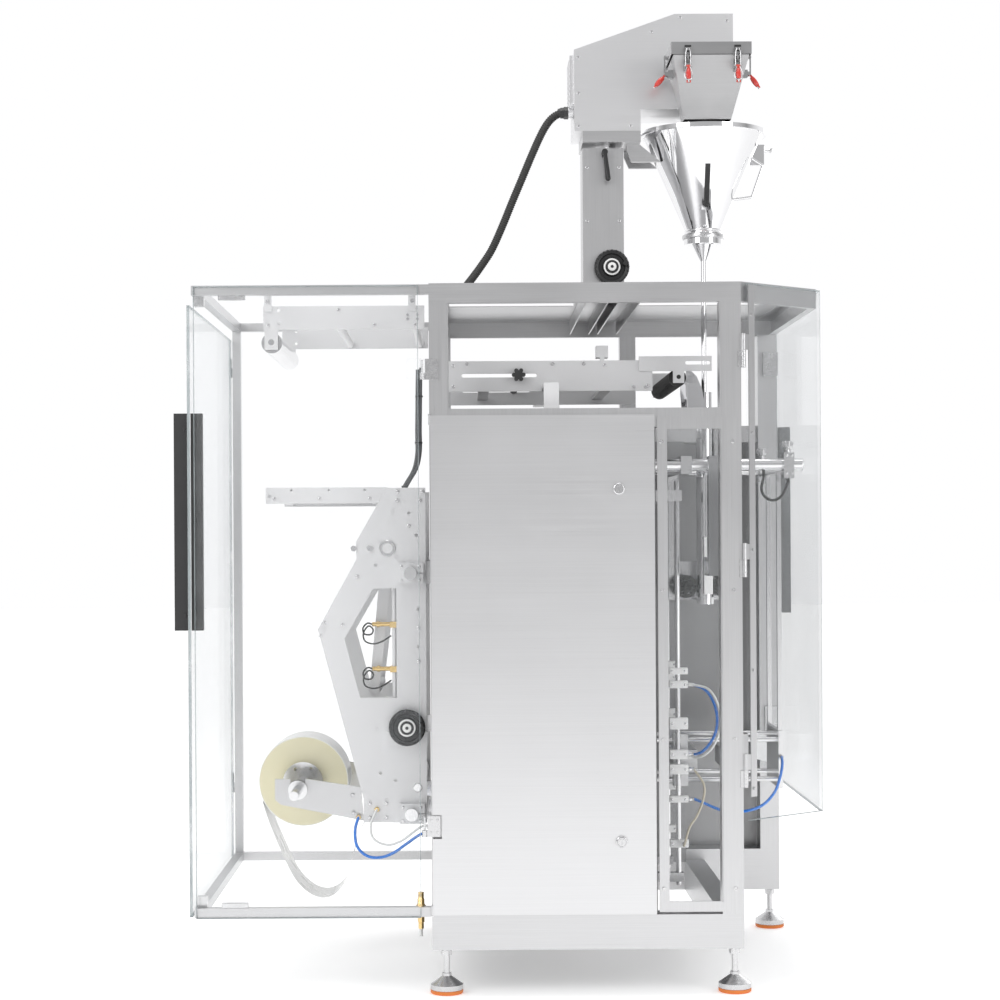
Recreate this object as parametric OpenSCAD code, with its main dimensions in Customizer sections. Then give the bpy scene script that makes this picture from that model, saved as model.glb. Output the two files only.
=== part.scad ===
// Vertical form fill sealer with an auger filling head and a caged film unwinder.
// X runs from the film unwinder to the sealing end, Y from the operator's side to the far side, Z is up.
// Inside machine() the datum is the floor under the cabinet's left corner on the operator's side.

/* [Frame] */
// Length of the cabinet along its near side
cab_w = 812; // [720:1:900]
// Depth of the cabinet
cab_d = 1000; // [900:1:1100]
// Height of the top frame above the floor
cab_h = 1855; // [1750:1:1980]
// How far the far side of the nose stands past the cabinet
nose = 227; // [180:1:260]
// Depth of the cut corner of the nose
cut_d = 190; // [150:1:220]
// Height of the base above the floor
foot_h = 120; // [100:1:140]
// Height of the base beams
base_beam = 90; // [70:1:110]
// Height of the top frame's fascia
fascia = 52; // [40:1:64]
// Width of the two left posts
post = 50; // [40:1:60]
// Width of the near right post
wide_post = 56; // [50:1:70]
// Wall of the frame tubes
wall = 3; // [2:0.5:4]
// Thickness of the sheet panels
sheet = 2; // [1.5:0.5:3]
// Lower edge of the open band under the top frame
band_z = 1528; // [1450:1:1560]

/* [Doors] */
// Length of the big cabinet door
door_w = 584; // [500:1:600]
// Depth of the folded door
door_t = 16; // [10:1:20]
// Diameter of a door lock
lock_d = 30; // [24:1:36]
// Thickness of the clear panes
pane = 8; // [5:1:12]
// Lower edge of the front door
front_door_z = 452; // [300:1:600]
// Length of the pull handles
handle_l = 565; // [400:1:600]

/* [Cage] */
// Length of the cage beyond the cabinet
cage_l = 618; // [560:1:680]
// Side of the cage's square tube
cage_tube = 25; // [20:1:30]
// Underside of the lower cage bars
cage_z = 207; // [150:1:240]

/* [Unwinder] */
// Distance from the near face to the near side plate
plate_y = 200; // [160:1:240]
// Thickness of the side plates
plate_t = 12; // [8:1:16]
// Diameter of the guide bars that carry the unwinder
bar_d = 34; // [28:1:40]
// Diameter of the film roll
roll_d = 250; // [200:1:280]
// Width of the film
film_w = 170; // [120:1:240]
// Diameter of the roll's core
core_d = 90; // [80:1:100]
// Diameter of the unwind shaft
shaft_d = 25; // [20:1:30]
// Diameter of the guide rollers
roller_d = 40; // [30:1:50]
// Diameter of the handwheels
wheel_d = 98; // [80:1:110]

/* [Filler head] */
// Side of the square column
col = 115; // [100:1:130]
// Top of the column
col_top = 2258; // [2200:1:2300]
// Diameter of the lifting mast
mast_d = 78; // [60:1:90]
// Outside radius of the hopper's rim
hopper_r = 178; // [150:1:185]
// Height of the hopper's rim
rim_z = 2335; // [2330:1:2360]
// Outside radius of the hopper's neck
neck_r = 50; // [40:1:56]
// Height of the hopper's neck
neck_z = 2056; // [2020:1:2080]
// Diameter of the filling tube
fill_d = 15; // [12:1:20]
// Lower end of the filling tube
fill_z = 1150; // [1000:1:1250]

/* [Feet] */
// Diameter of a foot's rubber pad
pad_d = 86; // [70:1:100]
// Diameter of a foot's stem
stem_d = 16; // [12:1:20]

/* [Fits] */
// Radial clearance of a running fit
fit = 0.05; // [0.02:0.01:0.1]
// Gap between curved or hinged neighbours
gap = 0.3; // [0.2:0.1:0.5]

/* [Hidden] */
$fn = 48;
weld = 0.1;                        // weld gap that keeps the tubes of a frame separate pieces
mid_y = cab_d / 2;                 // lane centre, where the film and the filling tube run
tip_x = cab_w + nose;              // far end of the nose
base_z = foot_h + base_beam;       // top of the base beams
roof_z = cab_h - fascia;           // underside of the top frame
far_beam_h = 123;                  // height of the far base beam
far_beam_d = 82;                   // depth of the far base beam
far_post_w = 57;                   // width of the far right post
door_z0 = base_z + 3;              // lower edge of the cabinet door
door_z1 = band_z - 18;             // upper edge of the cabinet door
win_x0 = door_w + 8;               // left edge of the window frame
win_x1 = cab_w - 9;                // right edge of the window frame
cage_x = -cage_l;                  // outer face of the cage
end_pane_x = cage_x - 3 - pane;    // outer face of the cage's end pane
handle_out = 36;                   // how far a pull handle stands out of its pane
handle_in = 30;                    // how far it stands behind its pane
front_out = tip_x + 2 + pane + 34; // outer face of the front pull handle
x_low = end_pane_x - handle_out;   // the object's lowest X, at the rear pull handle
y_low = -door_t - 8;               // the object's lowest Y, at the door locks
y_high = cab_d;                    // the object's highest Y
near_t0 = plate_y;                 // outer face of the near side plate
far_t0 = cab_d - plate_y - plate_t; // inner face of the far side plate
arm_t = 10;                        // thickness of the roll arms
arm_y = [near_t0 + plate_t + weld, far_t0 - arm_t - weld];
bearing_d = 40;                    // bearings of the unwind shaft
roll_x = -364;                     // centre of the film roll
roll_z = 514;
feed_x = -40;                      // centre of the feed roller
feed_z = 520;
wheel_x = -67;                     // centre of the unwinder's handwheel
wheel_z = 684;
bar_x = -56;                       // centre of the two guide bars
bar_z = [452, 1098];
dancer_x = -118;                   // pivot of the dancer arm
dancer_z = 1165;
upper_z = [1756, 1819];            // lower and upper edge of the upper roller frame
upper_x = -428;                    // centre of the upper roller
upper_roll_z = 1722;
carriage_z = [1586, 1668];         // lower and upper edge of the web carriage
slot_z = 1629;                     // height of the carriage's slot
knob_x = 238;                      // star knob in the slot
ribbed_x = 669;                    // centre of the ribbed roller
ribbed_z = 1622;
fill_x = 772;                      // axis of the filling tube and the hopper
former_r = 24;                     // outside radius of the forming tube
jaw_z = 570;                       // height of the cross-seal jaws
jaw_gap = 36;                      // jaw face to film axis at rest
guide_z = 1386;                    // height of the two guide shafts
guide_d = 33;
shaft_y = 250;                     // near guide shaft
upright_y = 350;                   // near upright rod
clamps_z = [[334, 354], [458, 475], [536, 562], [578, 602], [660, 691], [774, 793], [812, 829]];
jaw_rod_y = [mid_y - 100, mid_y + 100]; // slide rods of the jaws
pull_z = 1050;                     // axis of the pull wheels
pull_d = 64;
col_x = 485;                       // centre of the column
house_z = [2325, 2650];            // underside and top of the drive housing
house_y = [mid_y - 100, mid_y + 100];
house_x = [403, 847];
plate_x = fill_x - hopper_r - 6;   // right edge of the head's base plate, clear of the hopper's rim
lid_z = 2500;                      // underside of the chute's lid
lever_z = 2270;                    // column clamp lever
latch_z = lid_z - 34;              // pivots of the chute's toggle latches
latch_x = [703, 838];              // the two latches on the near side
cut_angle = atan2(cut_d, nose);    // direction of the cut corner in plan
door_hinge = [1, -8];              // hinge axis of the cabinet door in plan
door_knuckles = [[door_z0, door_z0 + 24], [door_z1 - 24, door_z1]];
column_wheel_z = 1948;
feet = [[37, 45], [cab_w - 20, 45], [37, cab_d - 42], [tip_x - 25, cab_d - 42]];
hinge_z = [1676, 1131, 584];       // centres of the front door's hinges
cage_hinge_z = [1631, 443];        // centres of the cage door's hinges

// ---------- helpers ----------

// Everything is drawn about the cabinet's corner and set down with the object's box centred.
module machine() {
    translate([-(x_low + front_out) / 2, -(y_low + y_high) / 2, 0]) children();
}

// A block between two corners.
module block(x, y, z) {
    translate([x[0], y[0], z[0]]) cube([x[1] - x[0], y[1] - y[0], z[1] - z[0]]);
}

module rod_x(y, z, d, x) {
    translate([x[0], y, z]) rotate([0, 90, 0]) cylinder(d = d, h = x[1] - x[0]);
}

module rod_y(x, z, d, y) {
    translate([x, y[0], z]) rotate([-90, 0, 0]) cylinder(d = d, h = y[1] - y[0]);
}

module rod_z(x, y, d, z) {
    translate([x, y, z[0]]) cylinder(d = d, h = z[1] - z[0]);
}

// A plate whose outline is given in X and Z, from y to y + t.
module upright(points, y, t) {
    translate([0, y + t, 0]) rotate([90, 0, 0]) linear_extrude(t) polygon(points);
}

// A square tube along one axis (0, 1 or 2) that fills the block.
module tube(x, y, z, axis) {
    inset = [for (a = [0 : 2]) a == axis ? -1 : wall];
    difference() {
        block(x, y, z);
        block([x[0] + inset[0], x[1] - inset[0]], [y[0] + inset[1], y[1] - inset[1]],
            [z[0] + inset[2], z[1] - inset[2]]);
    }
}

// A hexagon nut or head standing along -Y.
module hex_y(x, z, af, y) {
    translate([x, y[1], z]) rotate([90, 0, 0]) cylinder(d = af * 1.1547, h = y[1] - y[0], $fn = 6);
}

// Socket-head screws standing out of a face towards -Y.
module screws_y(places, face, d) {
    for (p = places) difference() {
        rod_y(p[0], p[1], d, [face - d / 2, face]);
        hex_y(p[0], p[1], d * 0.5, [face - d, face - d / 4]);
    }
}

// A roller with end journals, along Y.
module roller(x, z, d, y, journal) {
    rod_y(x, z, d, y);
    rod_y(x, z, journal, [y[0] - 20, y[1] + 20]);
}

// A dished handwheel with its crank knob, its axis along Y and its face towards -Y.
module handwheel(x, z, y, bore) {
    translate([x, y, z]) rotate([90, 0, 0]) difference() {
        union() {
            rotate_extrude() polygon([[0, 0], [19, 0], [22, 4], [wheel_d / 2 - 10, 6],
                [wheel_d / 2 - 3, 2], [wheel_d / 2, 7], [wheel_d / 2, 15], [wheel_d / 2 - 4, 20],
                [wheel_d / 2 - 11, 18], [wheel_d / 2 - 13, 12], [27, 12], [24, 22], [0, 22]]);
            translate([wheel_d / 2 - 12, 8, 12]) cylinder(d = 13, h = 26);
        }
        translate([0, 0, -1]) cylinder(d = bore, h = 15);
    }
}

// Plan outline of the top frame, and the same outline moved inwards.
function plan() = [[0, 0], [cab_w, 0], [tip_x, cut_d], [tip_x, cab_d], [0, cab_d]];
function unit(v) = v / norm(v);
function inner(p, i, d) =
    let (n = len(p), a = unit(p[i] - p[(i + n - 1) % n]), b = unit(p[(i + 1) % n] - p[i]),
        na = [-a[1], a[0]], nb = [-b[1], b[0]])
    p[i] + unit(na + nb) * d / cos(acos(na * nb) / 2);

// One mitred side of the top frame, w wide, from z0 to z1.
module ring_side(i, w, z) {
    p = plan();
    j = (i + 1) % len(p);
    step = unit(p[j] - p[i]) * weld / 2;
    translate([0, 0, z[0]]) linear_extrude(z[1] - z[0])
        polygon([p[i] + step, p[j] - step, inner(p, j, w) - step, inner(p, i, w) + step]);
}

// ---------- frame ----------

module base_frame() color([0.72, 0.72, 0.73]) machine() {
    z = [foot_h, base_z];
    far_y = [cab_d - far_beam_d, cab_d];
    tube([0, cab_w], [0, 60], z, 0);
    tube([0, tip_x], far_y, [foot_h, foot_h + far_beam_h], 0);
    for (x = [0, cab_w - 60]) tube([x, x + 60], [60 + weld, far_y[0] - weld], z, 1);
}

module frame_posts() color([0.78, 0.78, 0.79]) machine() {
    far_y = [cab_d - post, cab_d];
    far_top = foot_h + far_beam_h + weld;
    tube([0, post], [0, post], [base_z + weld, roof_z - weld], 2);
    tube([cab_w - wide_post, cab_w], [0, post], [base_z + weld, roof_z - weld], 2);
    tube([0, post], far_y, [far_top, roof_z - weld], 2);
    tube([tip_x - far_post_w, tip_x], [cab_d - far_beam_d, cab_d - sheet], [far_top, roof_z - weld], 2);
    tube([post + weld, cab_w - wide_post - weld], [0, post - 10], [band_z - post, band_z], 0);
    tube([post + weld, tip_x - far_post_w - weld], far_y, [band_z - post, band_z], 0);
    tube([566, 614], far_y, [band_z + weld, roof_z - weld], 2);
    tube([0, post], [post + weld, far_y[0] - weld], [band_z - post, band_z], 1);
}

module top_frame() color([0.8, 0.8, 0.81]) machine() {
    for (i = [0 : 4]) {
        ring_side(i, wall, [roof_z, cab_h]);
        ring_side(i, 50, [cab_h - wall, cab_h]);
        ring_side(i, 22, [roof_z, roof_z + wall]);
    }
    // cross channels that carry the column
    for (x = [col_x - 72, col_x + 12]) difference() {
        block([x, x + 60], [50 + weld, cab_d - 50 - weld], [roof_z + 6, cab_h - wall]);
        block([x + wall, x + 60 - wall], [0, cab_d], [roof_z, cab_h - 2 * wall]);
    }
    // roof sheets each side of the filling slot
    for (y = [[50 + weld, mid_y - 60], [mid_y + 60, cab_d - 50 - weld]])
        block([50 + weld, cab_w - 10], y, [cab_h - sheet, cab_h]);
    block([cab_w - 10 + weld, tip_x - 50 - weld], [mid_y + 60, cab_d - 50 - weld], [cab_h - sheet, cab_h]);
}

// Sheets: the far side, the one towards the unwinder, the partition and back of the sealing bay, its tray.
module sheet_panels() color([0.55, 0.55, 0.57]) machine() {
    z = [base_z + weld, band_z - post - weld];
    y = [post + weld, cab_d - far_beam_d - weld];
    block([post + weld, tip_x - far_post_w - weld], [cab_d - sheet, cab_d], [foot_h + far_beam_h + weld, z[1]]);
    block([0, sheet], y, z);
    block([door_w + 6, door_w + 6 + sheet], y, z);
    block([door_w + 8 + weld, cab_w - 60], [cab_d - 120, cab_d - 120 + sheet], z);
    block([sheet + weld, door_w + 6 - weld], y, [base_z + weld, base_z + sheet]);
}

module window_frame() color([0.82, 0.82, 0.83]) machine() {
    z = [door_z0 + 4, door_z1 - 8];
    open_z = [door_z0 + 31, door_z1 - 38];
    block([win_x0, win_x0 + 26], [-4, -weld], z);
    block([win_x1 - 44, win_x1], [-4, -weld], z);
    for (h = [[z[0], open_z[0]], [open_z[1], z[1]]])
        block([win_x0 + 26 + weld, win_x1 - 44 - weld], [-4, -weld], h);
}

module window_pane() color([0.85, 0.92, 0.95, 0.3]) machine()
    block([win_x0 + 15, cab_w - wide_post - weld], [gap, 5], [door_z0 + 20, band_z - post - 2 * weld]);

function window_screws() = [for (z = [door_z0 + 64 : (door_z1 - door_z0 - 134) / 3 : door_z1])
    for (x = [win_x0 + 12, win_x1 - 14]) [x, z]];

module panel_screws() color([0.75, 0.75, 0.76]) machine() {
    screws_y(window_screws(), -4, 9);
    screws_y([for (x = [-436, -48]) [x, upper_z[1] + 12]], plate_y - 6, 10);
    screws_y([for (p = [[0, 0], [0, -11], [-26, 0], [-26, -11]]) [-34 + p[0], 1794 + p[1]]], plate_y, 7);
    screws_y([[100, carriage_z[1] - 8], [330, slot_z + 30], [414, slot_z + 30], [548, carriage_z[0] + 10],
        [580, carriage_z[0] + 10]], plate_y, 9);
}

module levelling_feet() color([0.7, 0.7, 0.72]) machine() for (f = feet) {
    translate([f[0], f[1], 0]) {
        translate([0, 0, 10]) rotate_extrude() polygon([[0, 0.2], [pad_d / 2 - 1, 0.2], [pad_d / 2, 3],
            [pad_d / 2, 14], [pad_d / 2 - 3, 16], [17, 32], [11, 36], [0, 36]]);
        translate([0, 0, 45]) cylinder(d = 22 * 1.1547, h = 8, $fn = 6);
        translate([0, 0, 45]) cylinder(d = stem_d, h = foot_h - 45 - weld);
        translate([0, 0, foot_h - 19]) cylinder(d = 24 * 1.1547, h = 13, $fn = 6);
    }
}

module foot_pads() color([0.9, 0.42, 0.08]) machine() for (f = feet)
    translate([f[0], f[1], 0]) rotate_extrude()
        polygon([[0, 0], [pad_d / 2 - 3, 0], [pad_d / 2, 2.5], [pad_d / 2, 10], [0, 10]]);

// ---------- cage ----------

module cage_frame() color([0.78, 0.78, 0.79]) machine() {
    t = cage_tube;
    top = [cab_h - 3 - t, cab_h - 3];
    low = [cage_z, cage_z + t];
    for (z = [top, low]) {
        for (y = [[0, t], [cab_d - t, cab_d]]) tube([cage_x, -weld], y, z, 0);
        tube([cage_x, cage_x + t], [t + weld, cab_d - t - weld], z, 1);
    }
    tube([cage_x, cage_x + t], [cab_d - t, cab_d], [low[1] + weld, top[0] - weld], 2);
}

// Fixed hinge leaves with their pins, and the door catches.
module cage_hinges() color([0.7, 0.7, 0.72]) machine() {
    for (z = cage_hinge_z) {
        block([-10, 23], [-7, -weld], [z - 27, z + 27]);
        block([-14, -10], [-10, -weld], [z - 27, z - 10]);
        rod_z(-18, -8, 13, [z - 27, z - 10]);
        rod_z(-18, -8, 6, [z - 10, z + 24]);
        screws_y([for (d = [-16, 16]) for (x = [-2, 15]) [x, z + d]], -7, 7);
    }
    for (z = [1716, 446]) {
        rod_z(cage_x - 6, cab_d - 12, 10, [z - 30, z - 1]);
        rod_z(cage_x - 6, cab_d - 12, 5, [z - 1, z + 28]);
        block([cage_x - 4, cage_x - weld], [cab_d - 22, cab_d - 8], [z - 30, z - 1]);
    }
    // cabinet door: a lug below and above it, each with its pin
    for (k = door_knuckles) {
        low = k[0] == door_z0;
        lug = low ? [k[0] - 4, k[0] - gap] : [k[1] + gap, k[1] + 4];
        block([door_hinge[0] - 4, door_hinge[0] + 4], [door_hinge[1] - 4, -weld], lug);
        rod_z(door_hinge[0], door_hinge[1], 4, low ? [lug[0], k[1]] : [k[0], lug[1]]);
    }
    for (z = hinge_z) {
        rod_z(cab_w + 6, -4, 12, [z - 45, z - 1]);
        rod_z(cab_w + 6, -4, 6, [z - 1, z + 42]);
        block([win_x1 + 1, cab_w + 6], [-4 - weld, -weld], [z - 45, z - 1]);
    }
    // magnetic catches of the three clear doors
    for (z = [cab_h - 3 - cage_tube - 12, cage_z + cage_tube + weld])
        block([-548, -478], [3, 21], [z, z + 12 - weld]);
    for (z = [1712, 640]) block([tip_x - 42, tip_x + 2 - weld], [cab_d - far_beam_d - 14, cab_d - far_beam_d - weld],
        [z - 36, z + 36]);
    for (z = [cab_h - 3 - cage_tube - 26, cage_z + cage_tube + weld])
        block([cage_x + 4, cage_x + 30], [27, 52], [z, z + 26 - weld]);
}

// Mounting plate and modules behind the cabinet door.
module electric_panel() color([0.75, 0.75, 0.7]) machine() {
    y = 560;
    block([70, 540], [y, y + 3], [360, 1440]);
    for (x = [100, 480]) block([x, x + 24], [y + 3 + weld, cab_d - sheet - weld], [880, 920]);
    for (z = [500, 820, 1140]) block([90, 520], [y - 26, y - weld], [z, z + 34]);
    for (i = [0 : 4]) block([100 + 82 * i, 172 + 82 * i], [y - 115, y - weld], [560, 700 + 12 * (i % 3)]);
    for (i = [0 : 5]) block([100 + 68 * i, 160 + 68 * i], [y - 80, y - weld], [880, 1000]);
    block([110, 330], [y - 95, y - weld], [1200, 1340]);
    block([360, 500], [y - 120, y - weld], [1200, 1400]);
}

// ---------- unwinder ----------

// Two guide bars on brackets from the cabinet, and the nut of the adjusting screw.
module guide_bars() color([0.74, 0.74, 0.76]) machine() {
    for (z = bar_z) {
        rod_y(bar_x, z, bar_d, [150, cab_d - 150]);
        for (y = [300, cab_d - 330]) block([bar_x, -weld], [y, y + 30], [z - 30, z + 30]);
    }
    difference() {
        block([wheel_x - 18, -weld], [300, 336], [wheel_z - 22, wheel_z + 22]);
        rod_y(wheel_x, wheel_z, 16 + 2 * gap, [290, 340]);
    }
}

function plate_outline() = [[-119, 1328], [-15, 1328], [-15, 425], [-186, 427], [-186, 489], [-257, 758],
    [-307, 948], [-202, 1135], [-202, 1184]];
function plate_window() = [[-157, 1057], [-95, 1057], [-95, 762], [-193, 762], [-235, 922]];

module side_plate(y) {
    bolts = [[-90, 1294], [-91, 1323], [-106, 1266], [-290, 948], [-151, 679], [-170, 482], [-125, 485],
        [-141, 1180], [-97, 1143]];
    difference() {
        upright(plate_outline(), y, plate_t);
        upright(plate_window(), y - 1, plate_t + 2);
        for (z = bar_z) rod_y(bar_x, z, bar_d + 2 * fit, [y - 1, y + plate_t + 1]);
        rod_y(dancer_x, dancer_z, 28 + 2 * fit, [y - 1, y + plate_t + 1]);
        rod_y(wheel_x, wheel_z, 16 + 2 * fit, [y - 1, y + plate_t + 1]);
        rod_y(feed_x, feed_z, 16 + 2 * fit, [y - 1, y + plate_t + 1]);
        for (p = [[-60, 1260], [-40, 1200], [-150, 1120], [-75, 640], [-140, 560], [-100, 540], [-36, 900],
            [-36, 1000]]) rod_y(p[0], p[1], 9, [y - 1, y + plate_t + 1]);
    }
    screws_y([for (p = bolts) p], y, 9);
}

// Side plates with the split clamp blocks, the tie bars and the guide rod in the window.
module unwinder_plates() color([0.9, 0.9, 0.91]) machine() {
    for (y = [near_t0, far_t0]) side_plate(y);
    for (y = [near_t0 - 24, far_t0 + plate_t + weld]) for (z = bar_z) difference() {
        block([bar_x - 32, bar_x + 35], [y, y + 24 - weld], [z - 27, z + 27]);
        rod_y(bar_x, z, bar_d + 2 * fit, [y - 1, y + 25]);
        block([bar_x, bar_x + 40], [y - 1, y + 25], [z - 1, z + 1]);
    }
    for (p = [[-290, 948], [-151, 679], [-106, 1266]])
        rod_y(p[0], p[1], 20, [near_t0 + plate_t + weld, far_t0 - weld]);
    block([wheel_x - 54, wheel_x + 54], [near_t0 - 14, near_t0 - weld], [wheel_z - 50, wheel_z - 12]);
    rod_z(-101, near_t0 + 40, 14, [762, 1080]);
    for (z = [[735, 762 - weld], [1080 + weld, 1100]])
        block([-125, -88], [near_t0 + plate_t + weld, near_t0 + 58], z);
}

// Stainless arms whose open slots carry the unwind shaft.
module roll_arms() color([0.72, 0.72, 0.74]) machine()
    for (y = arm_y) difference() {
        upright([[-426, 543], [-340, 543], [-194, 520], [-186, 430], [-410, 474], [-426, 488]], y, arm_t);
        rod_y(roll_x, roll_z, bearing_d + 2 * fit, [y - 1, y + arm_t + 1]);
        block([roll_x - bearing_d / 2 - fit, roll_x + bearing_d / 2 + fit], [y - 1, y + arm_t + 1], [roll_z, 560]);
    }

// Film splicing table across the two side plates, with its clamp bar and edge rollers.
module splice_table() color([0.86, 0.86, 0.87]) machine() {
    x = [-445, -145];
    for (y = [near_t0, far_t0]) difference() {
        upright([[x[0], 1287], [-143, 1287], [-119.2, 1328], [-119.2, 1330], [x[0], 1330]], y, plate_t);
        for (h = [-375, -275, -178]) rod_y(h, 1322, 7, [y - 1, y + plate_t + 1]);
        rod_y(-435, 1307, 9, [y - 1, y + 6]);
    }
    y = [near_t0 + plate_t + weld, far_t0 - weld];
    block([x[0] + 40, x[1] - 10], y, [1322, 1326]);
    for (h = [-422, -165]) rod_y(h, 1300, 18, y);
}

// Brass web sensors in clamps on the guide rod behind the near plate's window.
module web_sensors() color([0.75, 0.58, 0.28]) machine() for (z = [958, 837]) {
    rod_x(near_t0 + 62, z, 12, [-163, -100]);
    rod_x(near_t0 + 62, z, 17, [-150, -142]);
    difference() {
        block([-114, -88], [near_t0 + 28, near_t0 + 72], [z - 8, z + 8]);
        rod_z(-101, near_t0 + 40, 14 + 2 * fit, [z - 9, z + 9]);
    }
}

// The slack film: from the roll, down in a loop, up and over the lower guide bar.
function web_route() = [[-479, 457], [-463, 405], [-433, 330], [-392, 245], [-352, 203], [-312, 188],
    [-276, 200], [-247, 238], [-230, 298], [-214, 358], [-184, 410], [-137, 445], [-100, 458], [-80, 463.5],
    [-66, 468], [-56, 470.6], [-45, 468], [-37, 460], [-34.5, 448], [-34.5, 438]];
function web_side(h) = let (p = web_route(), n = len(p)) [for (i = [0 : n - 1])
    let (d = unit(p[min(i + 1, n - 1)] - p[max(i - 1, 0)])) p[i] + [-d[1], d[0]] * h];
function backwards(v) = [for (i = [len(v) - 1 : -1 : 0]) v[i]];

module film_web() color([0.96, 0.96, 0.92]) machine()
    upright(concat(web_side(0.8), backwards(web_side(-0.8))), mid_y - film_w / 2, film_w);

module unwind_shaft() color([0.7, 0.7, 0.72]) machine() {
    rod_y(roll_x, roll_z, shaft_d, [72, far_t0 + 60]);
    for (y = [mid_y - film_w / 2 - 34, mid_y + film_w / 2 + 4]) difference() {
        union() {
            rod_y(roll_x, roll_z, 112, [y + 10, y + 20]);
            rod_y(roll_x, roll_z, 60, [y, y + 30]);
        }
        for (a = [0 : 60 : 300]) rod_y(roll_x + 42 * cos(a), roll_z + 42 * sin(a), 10, [y, y + 30]);
    }
    rod_y(roll_x, roll_z, core_d - 8 - 2 * gap, [mid_y - film_w / 2 - 4, mid_y + film_w / 2 + 4]);
    for (y = arm_y) {
        rod_y(roll_x, roll_z, bearing_d, [y - 4, y + arm_t + 4]);
        for (e = [-8, arm_t + 4]) rod_y(roll_x, roll_z, bearing_d + 12, [y + e, y + e + 4]);
    }
}

module film_roll() color([0.95, 0.94, 0.82]) machine() {
    y = [mid_y - film_w / 2, mid_y + film_w / 2];
    difference() {
        rod_y(roll_x, roll_z, roll_d, y);
        rod_y(roll_x, roll_z, core_d + 2 * gap, [y[0] - 1, y[1] + 1]);
    }
    difference() {
        rod_y(roll_x, roll_z, core_d, [y[0] - 3, y[1] + 3]);
        rod_y(roll_x, roll_z, core_d - 8, [y[0] - 4, y[1] + 4]);
    }
}

// Dancer arm: a cross shaft in the plates, two arms inside them and the dancer roller.
module dancer_arm() color([0.68, 0.68, 0.7]) machine() {
    rod_y(dancer_x, dancer_z, 28, [near_t0 - 6, far_t0 + plate_t + 6]);
    for (y = [near_t0 + 90, far_t0 - 90]) hull() {
        rod_y(dancer_x, dancer_z, 36, [y, y + 8]);
        rod_y(dancer_x - 42, dancer_z - 390, 26, [y, y + 8]);
    }
    rod_y(dancer_x - 42, dancer_z - 390, roller_d - 8, [near_t0 + 98, far_t0 - 90]);
}

module feed_roller() color([0.25, 0.25, 0.26]) machine()
    roller(feed_x, feed_z, roller_d, [near_t0 + plate_t + 10, far_t0 - 10], 16);

module unwinder_handwheel() color([0.07, 0.07, 0.07]) machine() {
    handwheel(wheel_x, wheel_z, near_t0 - 18, 10);
    rod_y(wheel_x, wheel_z, 16, [near_t0 - 18, 380]);
}

// ---------- upper web path ----------

// Plates hung under the cage's top bars, with their cross bars.
module upper_roller_frame() color([0.9, 0.9, 0.91]) machine() {
    for (y = [plate_y, cab_d - plate_y - 8]) {
        difference() {
            union() {
                block([-449, -15], [y, y + 8], upper_z);
                block([upper_x - 18, upper_x + 18], [y, y + 8], [upper_roll_z - 20, upper_z[0]]);
            }
            rod_y(upper_x, upper_roll_z, 16 + 2 * fit, [y - 1, y + 9]);
            for (p = [[-408, 1808], [-408, 1772]]) rod_y(p[0], p[1], 9, [y - 1, y + 9]);
        }
    }
    for (x = [-446, -58]) {
        block([x, x + 20], [plate_y + weld, cab_d - plate_y - weld], [upper_z[1] + weld, upper_z[1] + 3]);
        for (y = [plate_y - 6, cab_d - plate_y + weld]) block([x, x + 20], [y, y + 6 - weld],
            [upper_z[1] - 15, cab_h - 3]);
    }
    for (x = [-246, -40]) rod_y(x, 1769, 22, [plate_y + 8 + weld, cab_d - plate_y - 8 - weld]);
    for (x = [-446, -58]) for (y = [-1, 1]) block([x, x + 20],
        y < 0 ? [cage_tube + weld, plate_y - 6 - weld] : [cab_d - plate_y + 6, cab_d - cage_tube - weld],
        [cab_h - 9, cab_h - 3]);
}

module upper_roller() color([0.6, 0.6, 0.62]) machine()
    roller(upper_x, upper_roll_z, roller_d + 16, [plate_y + 20, cab_d - plate_y - 20], 16);

// Long plates across the open band that carry the film to the forming shoulder.
module web_carriage() color([0.9, 0.9, 0.91]) machine() {
    for (y = [plate_y, cab_d - plate_y - 10]) {
        difference() {
            block([post + weld, 599], [y, y + 10], carriage_z);
            hull() for (x = [90, 282]) rod_y(x, slot_z, 11, [y - 1, y + 11]);
            for (x = [330, 414]) rod_y(x, slot_z + 32, 7, [y - 1, y + 11]);
        }
        e = y < mid_y ? y - 8 : y + 10 + weld;
        difference() {
            union() {
                block([562, 758], [e, e + 8 - weld], [1638, 1678]);
                block([ribbed_x - 15, ribbed_x + 15], [e, e + 8 - weld], [ribbed_z - 16, 1638]);
            }
            hull() for (x = [692, 750]) rod_y(x, 1660, 10, [e - 1, e + 9]);
            rod_y(ribbed_x, ribbed_z, 12 + 2 * fit, [e - 1, e + 9]);
        }
    }
    for (x = [130, 470]) block([x, x + 30], [plate_y + 10 + weld, cab_d - plate_y - 10 - weld], [1600, 1608]);
    // brackets down to the mid rails
    for (y = [plate_y - 10, cab_d - plate_y]) block([300, 340],
        y < mid_y ? [post + weld, y + 10 - weld] : [y + weld, cab_d - post - weld], [1588, 1598]);
    block([300, 340], [post - 6, post], [band_z + 8 + weld, 1598]);
    block([300, 340], [10, post], [band_z + weld, band_z + 8]);
    // web edge guide box and its stem
    block([448, 480], [plate_y, plate_y + 45], [carriage_z[1] + 8, carriage_z[1] + 40]);
    block([458, 470], [plate_y, plate_y + 10], [carriage_z[1], carriage_z[1] + 8]);
}

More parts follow.
